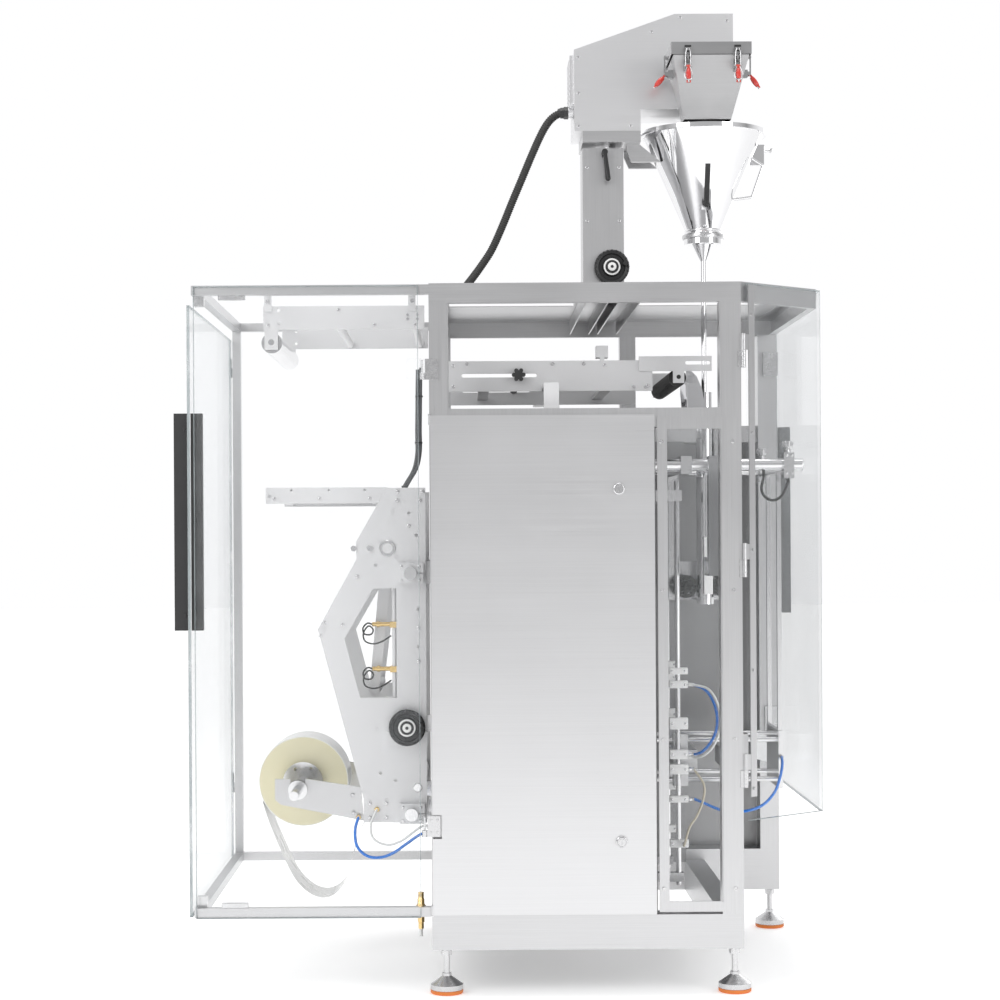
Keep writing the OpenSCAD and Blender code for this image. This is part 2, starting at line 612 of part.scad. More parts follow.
module ribbed_roller() color([0.35, 0.35, 0.36]) machine() {
    n = 16;
    w = (cab_d - 2 * plate_y - 60) / n;
    for (i = [0 : n - 1]) {
        y = plate_y + 30 + i * w;
        rod_y(ribbed_x, ribbed_z, roller_d + 8, [y, y + w * 0.7]);
        rod_y(ribbed_x, ribbed_z, roller_d - 4, [y + w * 0.7, y + w]);
    }
    rod_y(ribbed_x, ribbed_z, 12, [plate_y - 6, cab_d - plate_y + 6]);
}

// Star knob and its cross bar, which is clamped anywhere along the slot.
module star_knob() color([0.07, 0.07, 0.07]) machine() {
    rod_y(knob_x, slot_z, 10, [plate_y - 26, cab_d - plate_y - 12]);
    rod_y(knob_x, slot_z, 22, [plate_y + 14, cab_d - plate_y - 14]);
    rod_y(knob_x, slot_z, 18, [plate_y - 14, plate_y - gap]);
    rod_y(knob_x, slot_z, 24, [plate_y - 28, plate_y - 14]);
    for (a = [0 : 60 : 300])
        rod_y(knob_x + 13 * cos(a), slot_z + 13 * sin(a), 11, [plate_y - 28, plate_y - 14]);
}

// Collar that folds the film round the tube: a black wing each side and a sloping apron.
module forming_shoulder() color([0.12, 0.12, 0.13]) machine() {
    wing = [[712, 1660], [722, 1660], [742, 1640], [757, 1605], [766, 1552], [716, 1552], [712, 1600]];
    for (y = [mid_y - 82, mid_y + 76]) upright(wing, y, 6);
    difference() {
        block([712, fill_x + former_r + 14], [mid_y - 76 + weld, mid_y + 76 - weld], [1540, 1552 - weld]);
        rod_z(fill_x, mid_y, 2 * (former_r + 2), [1500, 1600]);
    }
}

module forming_tube() color([0.8, 0.8, 0.82]) machine() difference() {
    union() {
        rod_z(fill_x, mid_y, 2 * former_r, [1000, 1600]);
        rod_z(fill_x, mid_y, 2 * (former_r + 2), [1542, 1550]);
    }
    rod_z(fill_x, mid_y, 2 * former_r - 4, [990, 1610]);
}

// ---------- sealing bay ----------

// Guide shafts with the front clamps and bridge, upright rods and their white clamp blocks.
module jaw_guides() color([0.76, 0.76, 0.78]) machine() {
    far_y = cab_d - shaft_y;
    for (y = [shaft_y, far_y]) {
        rod_x(y, guide_z, guide_d, [door_w + 8 + weld, 1008]);
        difference() {
            block([955, 983], [y - 30, y + 30], [guide_z - 38, guide_z + 32]);
            rod_x(y, guide_z, guide_d + 2 * weld, [950, 990]);
        }
    }
    block([957, 981], [shaft_y + 30 + weld, far_y - 30 - weld], [guide_z - 20, guide_z + 20]);
    // arm from the bridge to the forming shoulder
    block([fill_x + former_r + 14 + weld, 957 - weld], [mid_y - 14, mid_y + 14], [guide_z - 8, guide_z + 8]);
    block([fill_x + former_r + 2 + gap, fill_x + former_r + 14], [mid_y - 14, mid_y + 14],
        [guide_z - 8, 1540 - weld]);
    // upright rods with their clamp blocks
    for (y = [upright_y, cab_d - upright_y]) {
        rod_z(677, y, 14, [base_z + 20, guide_z - 40]);
        difference() {
            union() {
                for (z = clamps_z) block([654, 704], [y - 12, y + 12], z);
                for (z = [[base_z + 30, base_z + 54], [1290, 1320]])
                    block([door_w + 8 + weld, 690], [y - 16, y + 16], z);
            }
            rod_z(677, y, 14 + 2 * weld, [base_z, guide_z]);
        }
    }
    // slide rods of the cross-seal jaws and their end plate, hung from the bridge
    for (y = jaw_rod_y) for (z = [jaw_z - 55, jaw_z + 55]) rod_x(y, z, 14, [door_w + 8 + weld, 960 - weld]);
    block([960, 972], [jaw_rod_y[0] - 16, jaw_rod_y[1] + 16], [jaw_z - 80, jaw_z + 80]);
    for (y = jaw_rod_y) block([960, 972], [y - 8, y + 8], [jaw_z + 80 + weld, guide_z - 20 - weld]);
    // cross bar, hangers and bearing plate of the pull wheels
    difference() {
        block([fill_x - 95, fill_x - 65], [shaft_y - 24, far_y + 24], [guide_z - 24, guide_z + 24]);
        for (y = [shaft_y, far_y]) rod_x(y, guide_z, guide_d + 2 * weld, [fill_x - 96, fill_x - 64]);
    }
    block([fill_x - 95, fill_x - 65], [mid_y + 90, mid_y + 104], [1120 + weld, guide_z - 24 - weld]);
    difference() {
        block([fill_x - 95, fill_x + 95], [mid_y + 90, mid_y + 104], [1010, 1120]);
        for (side = [-1, 1]) rod_y(wheel_place(side), pull_z, 14 + 2 * fit, [mid_y + 80, mid_y + 110]);
    }
    // air cylinder of the side sealer on its strap
    difference() {
        union() {
            block([fill_x - 20, fill_x + 20], [shaft_y - 24, shaft_y + 24], [1135 + weld, guide_z + 24]);
            block([fill_x - 20, fill_x + 20], [shaft_y - 24, 345], [1085, 1135]);
        }
        rod_y(fill_x, 1110, 12 + 2 * fit, [300, 346]);
        rod_x(shaft_y, guide_z, guide_d + 2 * weld, [fill_x - 21, fill_x + 21]);
    }
    // folded discharge chute on the far post
    upright([[960, 594], [1030, 594], [1030, 528], [1016, 505], [960, 520]], cab_d - far_beam_d - 30, 3);
    block([1010, 1030], [cab_d - far_beam_d - 27, cab_d - far_beam_d - weld], [528, 594]);
}

module jaw(side) {
    x = fill_x + side * (jaw_gap + 14);
    difference() {
        union() {
            block([x - 14, x + 14], jaw_rod_y, [jaw_z - 26, jaw_z + 26]);
            for (y = jaw_rod_y) block([x + side * 34 - 20, x + side * 34 + 20],
                [y - 18, y + 18], [jaw_z - 72, jaw_z + 72]);
            block([x + side * 34 - 20, x + side * 34 + 20], jaw_rod_y, [jaw_z - 18, jaw_z + 18]);
        }
        for (y = jaw_rod_y) for (z = [jaw_z - 55, jaw_z + 55]) rod_x(y, z, 14 + 2 * fit, [x - 80, x + 80]);
        for (z = [jaw_z - 18 : 6 : jaw_z + 18])
            block([x - side * 14 - 1.5, x - side * 14 + 1.5], [mid_y - 101, mid_y + 101], [z - 1, z + 1]);
    }
}

module left_jaw() color([0.62, 0.6, 0.56]) machine() jaw(-1);
module right_jaw() color([0.62, 0.6, 0.56]) machine() jaw(1);

// Upright seal bar that closes the film's back seam, on its air cylinder.
module side_sealer() color([0.7, 0.7, 0.72]) machine() {
    block([fill_x - 12, fill_x + 12], [mid_y - former_r - 60, mid_y - former_r - 24], [1030, 1190]);
    rod_y(fill_x, 1110, 12, [mid_y - former_r - 150, mid_y - former_r - 60]);
}

// Pull wheels that drive the film down the forming tube, each on its own shaft.
function wheel_place(side) = fill_x + side * (former_r + pull_d / 2 + gap);
module pull_wheel(side) {
    x = wheel_place(side);
    difference() {
        rod_y(x, pull_z, pull_d, [mid_y - 16, mid_y + 16]);
        for (a = [0 : 60 : 300]) rod_y(x + 20 * cos(a), pull_z + 20 * sin(a), 8, [mid_y - 20, mid_y + 20]);
    }
    rod_y(x, pull_z, 14, [mid_y - 30, mid_y + 110]);
}
module left_pull_wheel() color([0.1, 0.1, 0.11]) machine() pull_wheel(-1);
module right_pull_wheel() color([0.1, 0.1, 0.11]) machine() pull_wheel(1);

// ---------- doors ----------

// Folded door with its returned edges and a notch round the cage's lower hinge.
module cabinet_door() color([0.83, 0.83, 0.84]) machine() {
    x = [3, door_w];
    z = [door_z0, door_z1];
    difference() {
        block(x, [-door_t, -gap], z);
        block([x[0] + sheet, x[1] - sheet], [-door_t + sheet, 1], [z[0] + sheet, z[1] - sheet]);
        for (l = lock_places()) rod_y(l[0], l[1], lock_d - 6 + 2 * fit, [-door_t - 1, 1]);
        block([0, 27], [-door_t - 1, 1], [cage_hinge_z[1] - 31, cage_hinge_z[1] + 31]);
    }
    block([x[0] + 60, x[0] + 90], [-door_t + sheet, -2], [z[0] + 40, z[1] - 40]);
    // hinge knuckles in its two left corners
    for (k = door_knuckles) difference() {
        rod_z(door_hinge[0], door_hinge[1], 7, k);
        rod_z(door_hinge[0], door_hinge[1], 4 + 2 * fit, [k[0] - 1, k[1] + 1]);
    }
}

function lock_places() = [[door_w - 93, 1317], [door_w - 91, 402]];

// Quarter-turn lock: a slotted round barrel and the cam behind it.
module door_lock(p) difference() {
    union() {
        rod_y(p[0], p[1], lock_d, [-door_t - 4, -door_t - weld]);
        rod_y(p[0], p[1], 16, [-door_t - 8, -door_t - 4]);
        rod_y(p[0], p[1], lock_d - 6, [-door_t - weld, 2]);
        block([p[0] - 8, p[0] + 8], [2, 5], [p[1] - 10, p[1] + 34]);
    }
    block([p[0] - 1.5, p[0] + 1.5], [-door_t - 9, -door_t - 4], [p[1] - 6, p[1] + 6]);
}
module upper_lock() color([0.7, 0.7, 0.72]) machine() door_lock(lock_places()[0]);
module lower_lock() color([0.7, 0.7, 0.72]) machine() door_lock(lock_places()[1]);

// Clear side door of the cage with its moving hinge leaves.
module rear_side_pane() color([0.85, 0.92, 0.95, 0.3]) machine() {
    block([cage_x + 6, -28], [-pane - gap, -gap], [cage_z - 1, cab_h - 6]);
    for (z = cage_hinge_z) {
        block([-58, -25], [-pane - 7, -pane - gap - weld], [z - 27, z + 27]);
        difference() {
            union() {
                rod_z(-18, -8, 13, [z - 10 + gap, z + 27]);
                block([-28, -18], [-pane - 7, -8], [z - 10 + gap, z + 27]);
            }
            rod_z(-18, -8, 6 + 2 * fit, [z - 12, z + 28]);
        }
        screws_y([for (d = [-16, 16]) for (x = [-50, -36]) [x, z + d]], -pane - 7, 7);
    }
}

// Clear end door of the cage with its moving hinge knuckles.
module rear_end_pane() color([0.85, 0.92, 0.95, 0.3]) machine() {
    x = [cage_x - 3 - pane, cage_x - 3];
    block(x, [-pane, cab_d - 26], [cage_z + 4, cab_h - 55]);
    for (z = [1716, 446]) difference() {
        union() {
            rod_z(cage_x - 6, cab_d - 12, 10, [z, z + 28]);
            block([x[0], x[0] + 4], [cab_d - 27, cab_d - 10], [z, z + 28]);
        }
        rod_z(cage_x - 6, cab_d - 12, 5 + 2 * fit, [z - 1, z + 30]);
    }
}

// A pull handle of a clear door: a bar each side of the pane, outline in X about the pane's faces.
module rear_end_handle() color([0.07, 0.07, 0.07]) machine() {
    z = [955, 955 + handle_l];
    x0 = cage_x - 3 - pane;
    block([x_low, x0 - weld], [2, 30], z);
    block([cage_x - 3 + weld, cage_x - 3 + handle_in], [2, 24], z);
    for (h = [z[0] + 40, z[1] - 40]) rod_y(cage_x - 20, h, 8, [-3, 2]);
}

// Things placed along the cut corner: X runs along it from the near post, -Y points outwards.
module on_cut() {
    translate([cab_w, 0, 0]) rotate(cut_angle) children();
}

// Where a line d outside the cut corner meets the plane d outside the nose.
function bend(d) = [tip_x + d, (d + nose) * tan(cut_angle) - d / cos(cut_angle)];
// A point s along the cut corner and d outside it.
function cut_point(s, d) = [cab_w + s * cos(cut_angle) + d * sin(cut_angle),
    s * sin(cut_angle) - d * cos(cut_angle)];

// Clear front door: one bent sheet round the cut corner and across the nose.
module front_pane() color([0.85, 0.92, 0.95, 0.3]) machine()
    translate([0, 0, front_door_z]) linear_extrude(cab_h - 4 - front_door_z)
        polygon([cut_point(14, 2 + pane), bend(2 + pane), [tip_x + 2 + pane, cab_d - 24],
            [tip_x + 2, cab_d - 24], bend(2), cut_point(14, 2)]);

// Stainless clamp strip with its hinge knuckles and screws.
module front_door_strip() color([0.78, 0.78, 0.8]) machine() {
    z = [front_door_z + 62, cab_h - 8];
    on_cut() block([16, 38], [-pane - 5, -pane - 2 - weld], z);
    for (h = [1770, 1461, 1156, 843, 535]) on_cut() translate([27, 0, 0])
        rod_y(0, h, 9, [-pane - 9, -pane - 5]);
    for (h = hinge_z) difference() {
        union() {
            rod_z(cab_w + 6, -4, 12, [h - 1 + gap, h + 43]);
            on_cut() block([3.5, 30], [-pane - 4.4, -pane - 2 - weld], [h + 1, h + 41]);
        }
        rod_z(cab_w + 6, -4, 6 + 2 * fit, [h - 4, h + 45]);
    }
}

module front_handle() color([0.1, 0.1, 0.1]) machine() {
    z = [958, 958 + handle_l];
    block([tip_x + 2 + pane + weld, front_out], [cab_d - 56, cab_d - 28], z);
}

// ---------- filler head ----------

// Square column with its cap, standing on the cross channels.
module column() color([0.78, 0.78, 0.8]) machine() {
    c = col / 2;
    difference() {
        union() {
            block([col_x - c, col_x + c], [mid_y - c, mid_y + c], [cab_h - wall, col_top]);
            block([col_x - 80, col_x + 80], [mid_y - 60 + weld, mid_y + 60 - weld], [cab_h - wall, cab_h + 5]);
        }
        block([col_x - c + 5, col_x + c - 5], [mid_y - c + 5, mid_y + c - 5], [cab_h - 5, col_top + 1]);
        rod_y(col_x + 22, column_wheel_z, 14 + 2 * fit, [mid_y - c - 1, mid_y - c + 8]);
    }
    difference() {
        block([col_x - c, col_x + c], [mid_y - c, mid_y + c], [col_top + weld, col_top + 26]);
        rod_z(col_x, mid_y, mast_d + 2 * fit, [col_top - 1, col_top + 30]);
        block([col_x - 3, col_x + 3], [mid_y - c - 1, mid_y], [col_top, col_top + 30]);
        rod_y(col_x + 4, lever_z, 8 + 2 * gap, [mid_y - c - 2, mid_y - c + 16]);
    }
}

module column_handwheel() color([0.07, 0.07, 0.07]) machine() {
    handwheel(col_x + 22, column_wheel_z, mid_y - col / 2 - 4, 10);
    rod_y(col_x + 22, column_wheel_z, 14, [mid_y - col / 2 - 4, mid_y - 40]);
}

// Clamp lever that pinches the cap on the mast.
module column_clamp_lever() color([0.07, 0.07, 0.07]) machine() {
    y = mid_y - col / 2 - 2;
    rod_y(col_x + 4, lever_z, 8, [y, y + 16]);
    rod_y(col_x + 4, lever_z, 17, [y - 24, y]);
    hull() {
        rod_y(col_x + 4, lever_z, 11, [y - 24, y - 15]);
        translate([col_x + 12, y - 30, lever_z - 76]) sphere(d = 15, $fn = 24);
    }
}

// Outside radius of the hopper's cone at a height.
function cone_r(z) = neck_r + (hopper_r - 10 - neck_r) * (z - neck_z) / (rim_z - 12 - neck_z);
// Where the cone's left side stands, dy to one side of its axis.
function cone_x(z, dy) = fill_x - sqrt(cone_r(z) * cone_r(z) - dy * dy);

// Mast, the base plate on it and the two saddle plates that hold the hopper.
module head_supports() color([0.78, 0.78, 0.8]) machine() {
    z = [2245, house_z[0] - 31 - weld];
    rod_z(col_x, mid_y, mast_d, [cab_h + 60, house_z[0] - 31 - weld]);
    block([426, plate_x], house_y, [house_z[0] - 31, house_z[0] - weld]);
    for (dy = [-60, 48]) {
        near = min(abs(dy), abs(dy + 12));
        upright([[552, z[1]], [552, z[0] + 30], [566, z[0]], [cone_x(z[0], near) - gap, z[0]],
            [min(plate_x, cone_x(z[1], near) - gap), z[1]]], mid_y + dy, 12);
    }
}

// Sheet housing of the drives, its top sloping up to the auger motor.
module drive_housing() color([0.84, 0.84, 0.85]) machine() {
    side = [[house_x[0], house_z[0]], [plate_x, house_z[0]], [plate_x, 2384], [house_x[1], 2384],
        [house_x[1], house_z[1]], [684, house_z[1]], [house_x[0], 2552]];
    core = [[house_x[0] + 2, house_z[0] + 2], [plate_x - 2, house_z[0] + 2], [plate_x - 2, 2386],
        [house_x[1] - 2, 2386],
        [house_x[1] - 2, house_z[1] - 2], [684, house_z[1] - 2], [house_x[0] + 2, 2550]];
    difference() {
        upright(side, house_y[0], house_y[1] - house_y[0]);
        upright(core, house_y[0] + 2, house_y[1] - house_y[0] - 4);
        rod_z(fill_x, mid_y, 40, [2380, 2390]);
    }
    // rear vent panel
    difference() {
        block([house_x[0] - 11, house_x[0] - weld], [house_y[0] + 20, house_y[1] - 20], [2403, 2540]);
        for (z = [2416 : 14 : 2530]) block([house_x[0] - 12, house_x[0] - 6],
            [house_y[0] + 36, house_y[1] - 36], [z, z + 5]);
    }
    rod_x(mid_y, 2395, 30, [house_x[0] - 12, house_x[0] - weld]);
}

// Powder inlet on the near side of the housing: a tapering duct and its lid box.
module feed_chute() color([0.76, 0.76, 0.78]) machine() {
    y1 = house_y[0] - weld;
    difference() {
        hull() {
            block([664, 870], [236, y1], [lid_z - 2, lid_z]);
            block([702, 832], [330, y1], [2342, 2344]);
        }
        hull() {
            block([666, 868], [238, y1 - 2], [lid_z - 1, lid_z + 1]);
            block([704, 830], [332, y1 - 2], [2340, 2344]);
        }
    }
    difference() {
        block([658, 876], [232, y1], [lid_z + weld, lid_z + 33]);
        block([660, 874], [234, y1 - 2], [lid_z, lid_z + 31]);
    }
    for (x = latch_x) translate([x, 232, 0]) latch_mount(25);
    translate([658, 330, 0]) rotate(-90) latch_mount(23);
    translate([876, 330, 0]) rotate(90) latch_mount(23);
}

// What a toggle latch sits on: its block with two lugs, the wire loop and the lid's hook.
module latch_mount(reach) {
    block([-9, 9], [-1, reach], [latch_z - 10, latch_z + 10]);
    for (x = [-9, 5.7]) block([x, x + 3.3], [-10, -1], [latch_z - 5, latch_z + 5]);
    for (x = [-9, 7]) block([x, x + 2], [-10, -8], [latch_z + 5, lid_z + 16]);
    block([-9, 9], [-10, -8], [lid_z + 14, lid_z + 16]);
    block([-6, 6], [-11, 0], [lid_z + 8, lid_z + 14 - weld]);
}

// Toggle latch's lever: a red grip below its pivot pin, facing -Y and leaning outwards.
module latch(lean) {
    translate([0, -6, latch_z]) rotate([-lean, 0, 0]) {
        rod_x(0, 0, 7, [-5.5, 5.5]);
        hull() {
            block([-6, 6], [-7, -3], [-48, -44]);
            block([-5, 5], [-3, 2], [-6, -3]);
        }
    }
}

module near_latches() color([0.75, 0.1, 0.08]) machine() for (x = latch_x) translate([x, 232, 0]) latch(8);
module left_latch() color([0.75, 0.1, 0.08]) machine() translate([658, 330, 0]) rotate(-90) latch(36);
module right_latch() color([0.75, 0.1, 0.08]) machine() translate([876, 330, 0]) rotate(90) latch(30);

// Mirror-polished cone with a rolled rim, a flat top ring, a neck flange and a side handle.
module cone_hopper() color([0.85, 0.85, 0.87]) machine() {
    translate([fill_x, mid_y, 0]) {
        rotate_extrude($fn = 72) polygon([[neck_r - 2, neck_z], [neck_r, neck_z], [hopper_r - 10, rim_z - 12],
            [hopper_r, rim_z - 12], [hopper_r, rim_z], [hopper_r - 12, rim_z]]);
        translate([0, 0, neck_z - 11]) rotate_extrude() polygon([[neck_r - 2, 0], [neck_r + 4, 0],
            [neck_r + 4, 5], [neck_r, 11], [neck_r - 2, 11]]);
    }
    // lug of the wing-nut clamp
    upright([[fill_x + cone_r(2242) - 1, 2242], [fill_x + 172, 2242], [fill_x + 172, 2300],
        [fill_x + cone_r(2300) - 1, 2300]], mid_y - 12, 24);
    // handle
    for (p = [[[fill_x + 164, mid_y - 40, 2236], [fill_x + 133, mid_y - 40, 2147]],
        [[fill_x + 133, mid_y - 40, 2147], [fill_x + 74, mid_y - 40, 2140]],
        [[fill_x + 164, mid_y - 40, 2236], [fill_x + 134, mid_y - 40, 2256]]]) hull()
        for (q = p) translate(q) sphere(d = 8, $fn = 16);
}

// Clamp ring, nozzle cone and filling tube.
module fill_tube() color([0.8, 0.8, 0.82]) machine() translate([fill_x, mid_y, 0]) rotate_extrude()
    polygon([[fill_d / 2 - 1.5, fill_z], [fill_d / 2, fill_z], [fill_d / 2, 1971], [33, 2018],
        [neck_r + 5, 2018], [neck_r + 5, neck_z - 11 - weld], [neck_r - 2, neck_z - 11 - weld],
        [neck_r - 2, 2024], [30, 2020], [fill_d / 2 - 1.5, 1973]]);

// Auger with its shaft, flights and the agitator arms that sweep the cone.
module auger_screw() color([0.7, 0.7, 0.72]) machine() {
    rod_z(fill_x, mid_y, 7, [fill_z + 5, 2392]);
    for (z = [fill_z + 12 : 14 : 1960]) rod_z(fill_x, mid_y, fill_d - 3 - 2 * gap, [z, z + 2]);
    rod_z(fill_x, mid_y, 24, [2200, 2392]);
    for (s = [-1, 1]) hull() {
        translate([fill_x + s * 30, mid_y, 2070]) sphere(d = 8, $fn = 16);
        translate([fill_x + s * 100, mid_y, 2250]) sphere(d = 8, $fn = 16);
    }
    rod_x(mid_y, 2250, 8, [fill_x - 100, fill_x + 100]);
    rod_x(mid_y, 2070, 8, [fill_x - 30, fill_x + 30]);
}

// Servo motor over the auger and the control boxes at the back of the housing.
module drive_motor() color([0.2, 0.2, 0.22]) machine() {
    difference() {
        block([fill_x - 45, fill_x + 45], [mid_y - 45, mid_y + 45], [2386 + weld, 2399]);
        rod_z(fill_x, mid_y, 26 + 2 * gap, [2380, 2394]);
    }
    block([fill_x - 40, fill_x + 40], [mid_y - 40, mid_y + 40], [2399, 2580]);
    rod_z(fill_x, mid_y, 70, [2580, 2630]);
    block([430, 572], [mid_y - 60, mid_y + 60], [house_z[0] + 2 + weld, 2440]);
}

// Conduit from the housing's gland down into the top frame, swept along its route.
conduit_d = 23;
conduit_route = [[391, 500, 2395], [372, 500, 2395], [350, 498, 2384], [330, 495, 2362], [310, 492, 2326],
    [284, 488, 2268], [258, 484, 2206], [230, 481, 2140], [202, 479, 2072], [172, 474, 2006],
    [143, 463, 1960], [118, 446, 1924], [98, 427, 1896], [86, 412, 1876], [80, 405, 1866],
    [80, 405, cab_h + weld]];
function route_dir(p, i) = unit(p[min(i + 1, len(p) - 1)] - p[max(i - 1, 0)]);
function ring_at(p, i, d, n) = let (t = route_dir(p, i), s = unit(cross(t, [1, -2, 3])), r = cross(t, s))
    [for (k = [0 : n - 1]) p[i] + (s * cos(360 * k / n) + r * sin(360 * k / n)) * d / 2];
module sweep(p, d, n) {
    m = len(p);
    polyhedron([for (i = [0 : m - 1]) each ring_at(p, i, d, n)],
        concat([[for (k = [0 : n - 1]) k]], [[for (k = [n - 1 : -1 : 0]) (m - 1) * n + k]],
            [for (i = [0 : m - 2]) for (k = [0 : n - 1])
                [i * n + (k + 1) % n, i * n + k, (i + 1) * n + k, (i + 1) * n + (k + 1) % n]]));
}
module head_conduit() color([0.1, 0.1, 0.1]) machine() sweep(conduit_route, conduit_d, 12);

// Tubes and cables by their routes: the cable bundle of the unwinder, its blue and white air tubes,
// two blue tubes and a beige one in the sealing bay, and the cable under the front clamp.
bundle_d = 20;
bundle_route = [[-30, 218.4, 1650], [-31, 219, 1600], [-32, 222, 1540], [-33, 224, 1480], [-33, 225, 1425],
    [-42, 225, 1380], [-62, 224, 1345], [-80, 223, 1312], [-86, 222.4, 1292]];
tube_d = 8;
blue_feed = [[-200, 199.6, 441], [-200, 190, 441], [-208, 173, 410], [-203, 168, 368], [-176, 164, 342],
    [-140, 162, 338], [-105, 162, 350], [-70, 162, 374], [-30, 162, 400], [-0.6, 162, 400]];
white_feed = [[-150, 199.6, 462], [-150, 190, 462], [-166, 180, 425], [-160, 176, 388], [-125, 174, 370],
    [-85, 174, 380], [-30, 174, 418], [-0.6, 174, 418]];
blue_arc = [[704.4, 344, 783], [718, 344, 783], [752, 326, 768], [772, 312, 735], [780, 304, 695],
    [776, 304, 655], [760, 310, 622], [738, 322, 598], [718, 344, 590], [704.4, 344, 590]];
blue_low = [[704.4, 344, 466], [722, 344, 466], [795, 318, 438], [850, 302, 437], [900, 298, 453],
    [935, 300, 488], [953, 310, 530], [962, 330, 562], [966, 365, 578], [966, 383.6, 578]];
beige_arc = [[704.4, 346, 549], [718, 346, 549], [745, 332, 510], [744, 326, 470], [726, 320, 425],
    [704, 315, 392], [690, 318, 344], [690, 337.6, 344]];
clamp_cable = [[969, 250, 1347.6], [969, 250, 1335], [951, 246, 1300], [927, 246, 1289], [906, 248, 1300],
    [898, 250, 1322], [904, 250, 1352], [904, 250, 1369.2]];
module air_tubes() color([0.15, 0.35, 0.75]) machine() {
    sweep(bundle_route, bundle_d, 10);
    for (r = [blue_feed, white_feed, blue_arc, blue_low, beige_arc, clamp_cable]) sweep(r, tube_d, 8);
}

base_frame();
frame_posts();
top_frame();
sheet_panels();
window_frame();
window_pane();
panel_screws();
levelling_feet();
foot_pads();
cage_frame();
cage_hinges();
electric_panel();
guide_bars();
upper_roller_frame();
web_carriage();
forming_shoulder();
forming_tube();
jaw_guides();
column();
cabinet_door();
upper_lock();
lower_lock();
rear_side_pane();
rear_end_pane();
rear_end_handle();
front_pane();
front_door_strip();
front_handle();
unwinder_plates();
roll_arms();
splice_table();
web_sensors();
film_web();
unwind_shaft();
film_roll();
dancer_arm();
feed_roller();
unwinder_handwheel();
upper_roller();
ribbed_roller();
star_knob();
left_jaw();
right_jaw();
side_sealer();
left_pull_wheel();
right_pull_wheel();
head_supports();
drive_housing();
feed_chute();
cone_hopper();
fill_tube();
auger_screw();
drive_motor();
head_conduit();
air_tubes();
column_handwheel();
column_clamp_lever();
near_latches();
left_latch();
right_latch();
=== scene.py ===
"""Looks of the vertical form fill sealer: materials, small fittings, tubes, film, studio and camera."""
import math

import bmesh
import bpy
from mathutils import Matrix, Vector


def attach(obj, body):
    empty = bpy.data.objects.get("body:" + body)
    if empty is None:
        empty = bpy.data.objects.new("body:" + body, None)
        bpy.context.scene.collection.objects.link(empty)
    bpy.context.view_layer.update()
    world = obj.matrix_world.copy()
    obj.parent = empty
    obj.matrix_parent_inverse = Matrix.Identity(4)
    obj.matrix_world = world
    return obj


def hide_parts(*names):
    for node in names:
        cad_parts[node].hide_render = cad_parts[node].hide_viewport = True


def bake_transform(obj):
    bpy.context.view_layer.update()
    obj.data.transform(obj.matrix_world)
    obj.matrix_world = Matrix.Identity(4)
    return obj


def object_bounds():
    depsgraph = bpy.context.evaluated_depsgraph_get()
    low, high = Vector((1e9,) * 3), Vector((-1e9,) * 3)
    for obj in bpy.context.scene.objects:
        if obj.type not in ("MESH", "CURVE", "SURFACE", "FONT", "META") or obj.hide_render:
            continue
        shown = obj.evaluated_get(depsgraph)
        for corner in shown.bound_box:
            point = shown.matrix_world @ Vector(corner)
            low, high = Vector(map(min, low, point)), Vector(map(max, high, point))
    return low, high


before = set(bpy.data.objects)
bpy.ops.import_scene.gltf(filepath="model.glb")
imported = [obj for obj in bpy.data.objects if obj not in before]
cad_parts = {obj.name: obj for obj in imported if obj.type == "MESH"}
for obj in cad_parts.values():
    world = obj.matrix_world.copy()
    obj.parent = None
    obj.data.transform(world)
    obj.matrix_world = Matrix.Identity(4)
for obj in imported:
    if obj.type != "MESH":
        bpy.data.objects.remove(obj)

cad_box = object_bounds()
UP = Vector((0, 0, 1))
TURN = 2 * math.pi

# ---------- places ----------

SHIFT = Vector((0.209, 0.488, 0.0))   # the row's origin, seen from the cabinet's near left corner


def at(x, y, z):
    """A place given in millimetres from the cabinet's near left corner."""
    return Vector((x, y, z)) / 1000 - SHIFT


# ---------- camera ----------------------------------------------------------------

camera = bpy.data.objects.new("camera", bpy.data.cameras.new("camera"))
bpy.context.scene.collection.objects.link(camera)
camera.data.lens = 76.14
camera.data.sensor_width = 36
camera.data.shift_x = 0.034
camera.data.shift_y = 0.036
camera.location = at(94, -5500, 1197)   # 1.2 m up and 5.5 m in front
camera.rotation_euler = (math.pi / 2, 0.0059, 0)
bpy.context.scene.camera = camera


# ---------- node groups ----------

def group(name, inputs, outputs):
    """A shader node group with named sockets; returns the tree and its two ends."""
    tree = bpy.data.node_groups.new(name, "ShaderNodeTree")
    for label, kind, value in inputs:
        socket = tree.interface.new_socket(name=label, in_out="INPUT", socket_type=kind)
        if value is not None:
            socket.default_value = value
    for label, kind in outputs:
        tree.interface.new_socket(name=label, in_out="OUTPUT", socket_type=kind)
    return tree, tree.nodes.new("NodeGroupInput"), tree.nodes.new("NodeGroupOutput")


def add(tree, kind, **values):
    """A node with its properties and inputs set by name; a socket as a value is linked."""
    node = tree.nodes.new(kind)
    for key, value in values.items():
        if hasattr(node, key):
            setattr(node, key, value)
            continue
        socket = node.inputs[key.replace("_", " ")]
        if isinstance(value, bpy.types.NodeSocket):
            tree.links.new(value, socket)
        else:
            socket.default_value = value
    return node


def maths(tree, operation, a, b=None, clamp=False):
    node = tree.nodes.new("ShaderNodeMath")
    node.operation, node.use_clamp = operation, clamp
    for socket, value in zip(node.inputs, (a, b)):
        if isinstance(value, bpy.types.NodeSocket):
            tree.links.new(value, socket)
        elif value is not None:
            socket.default_value = value
    return node.outputs[0]


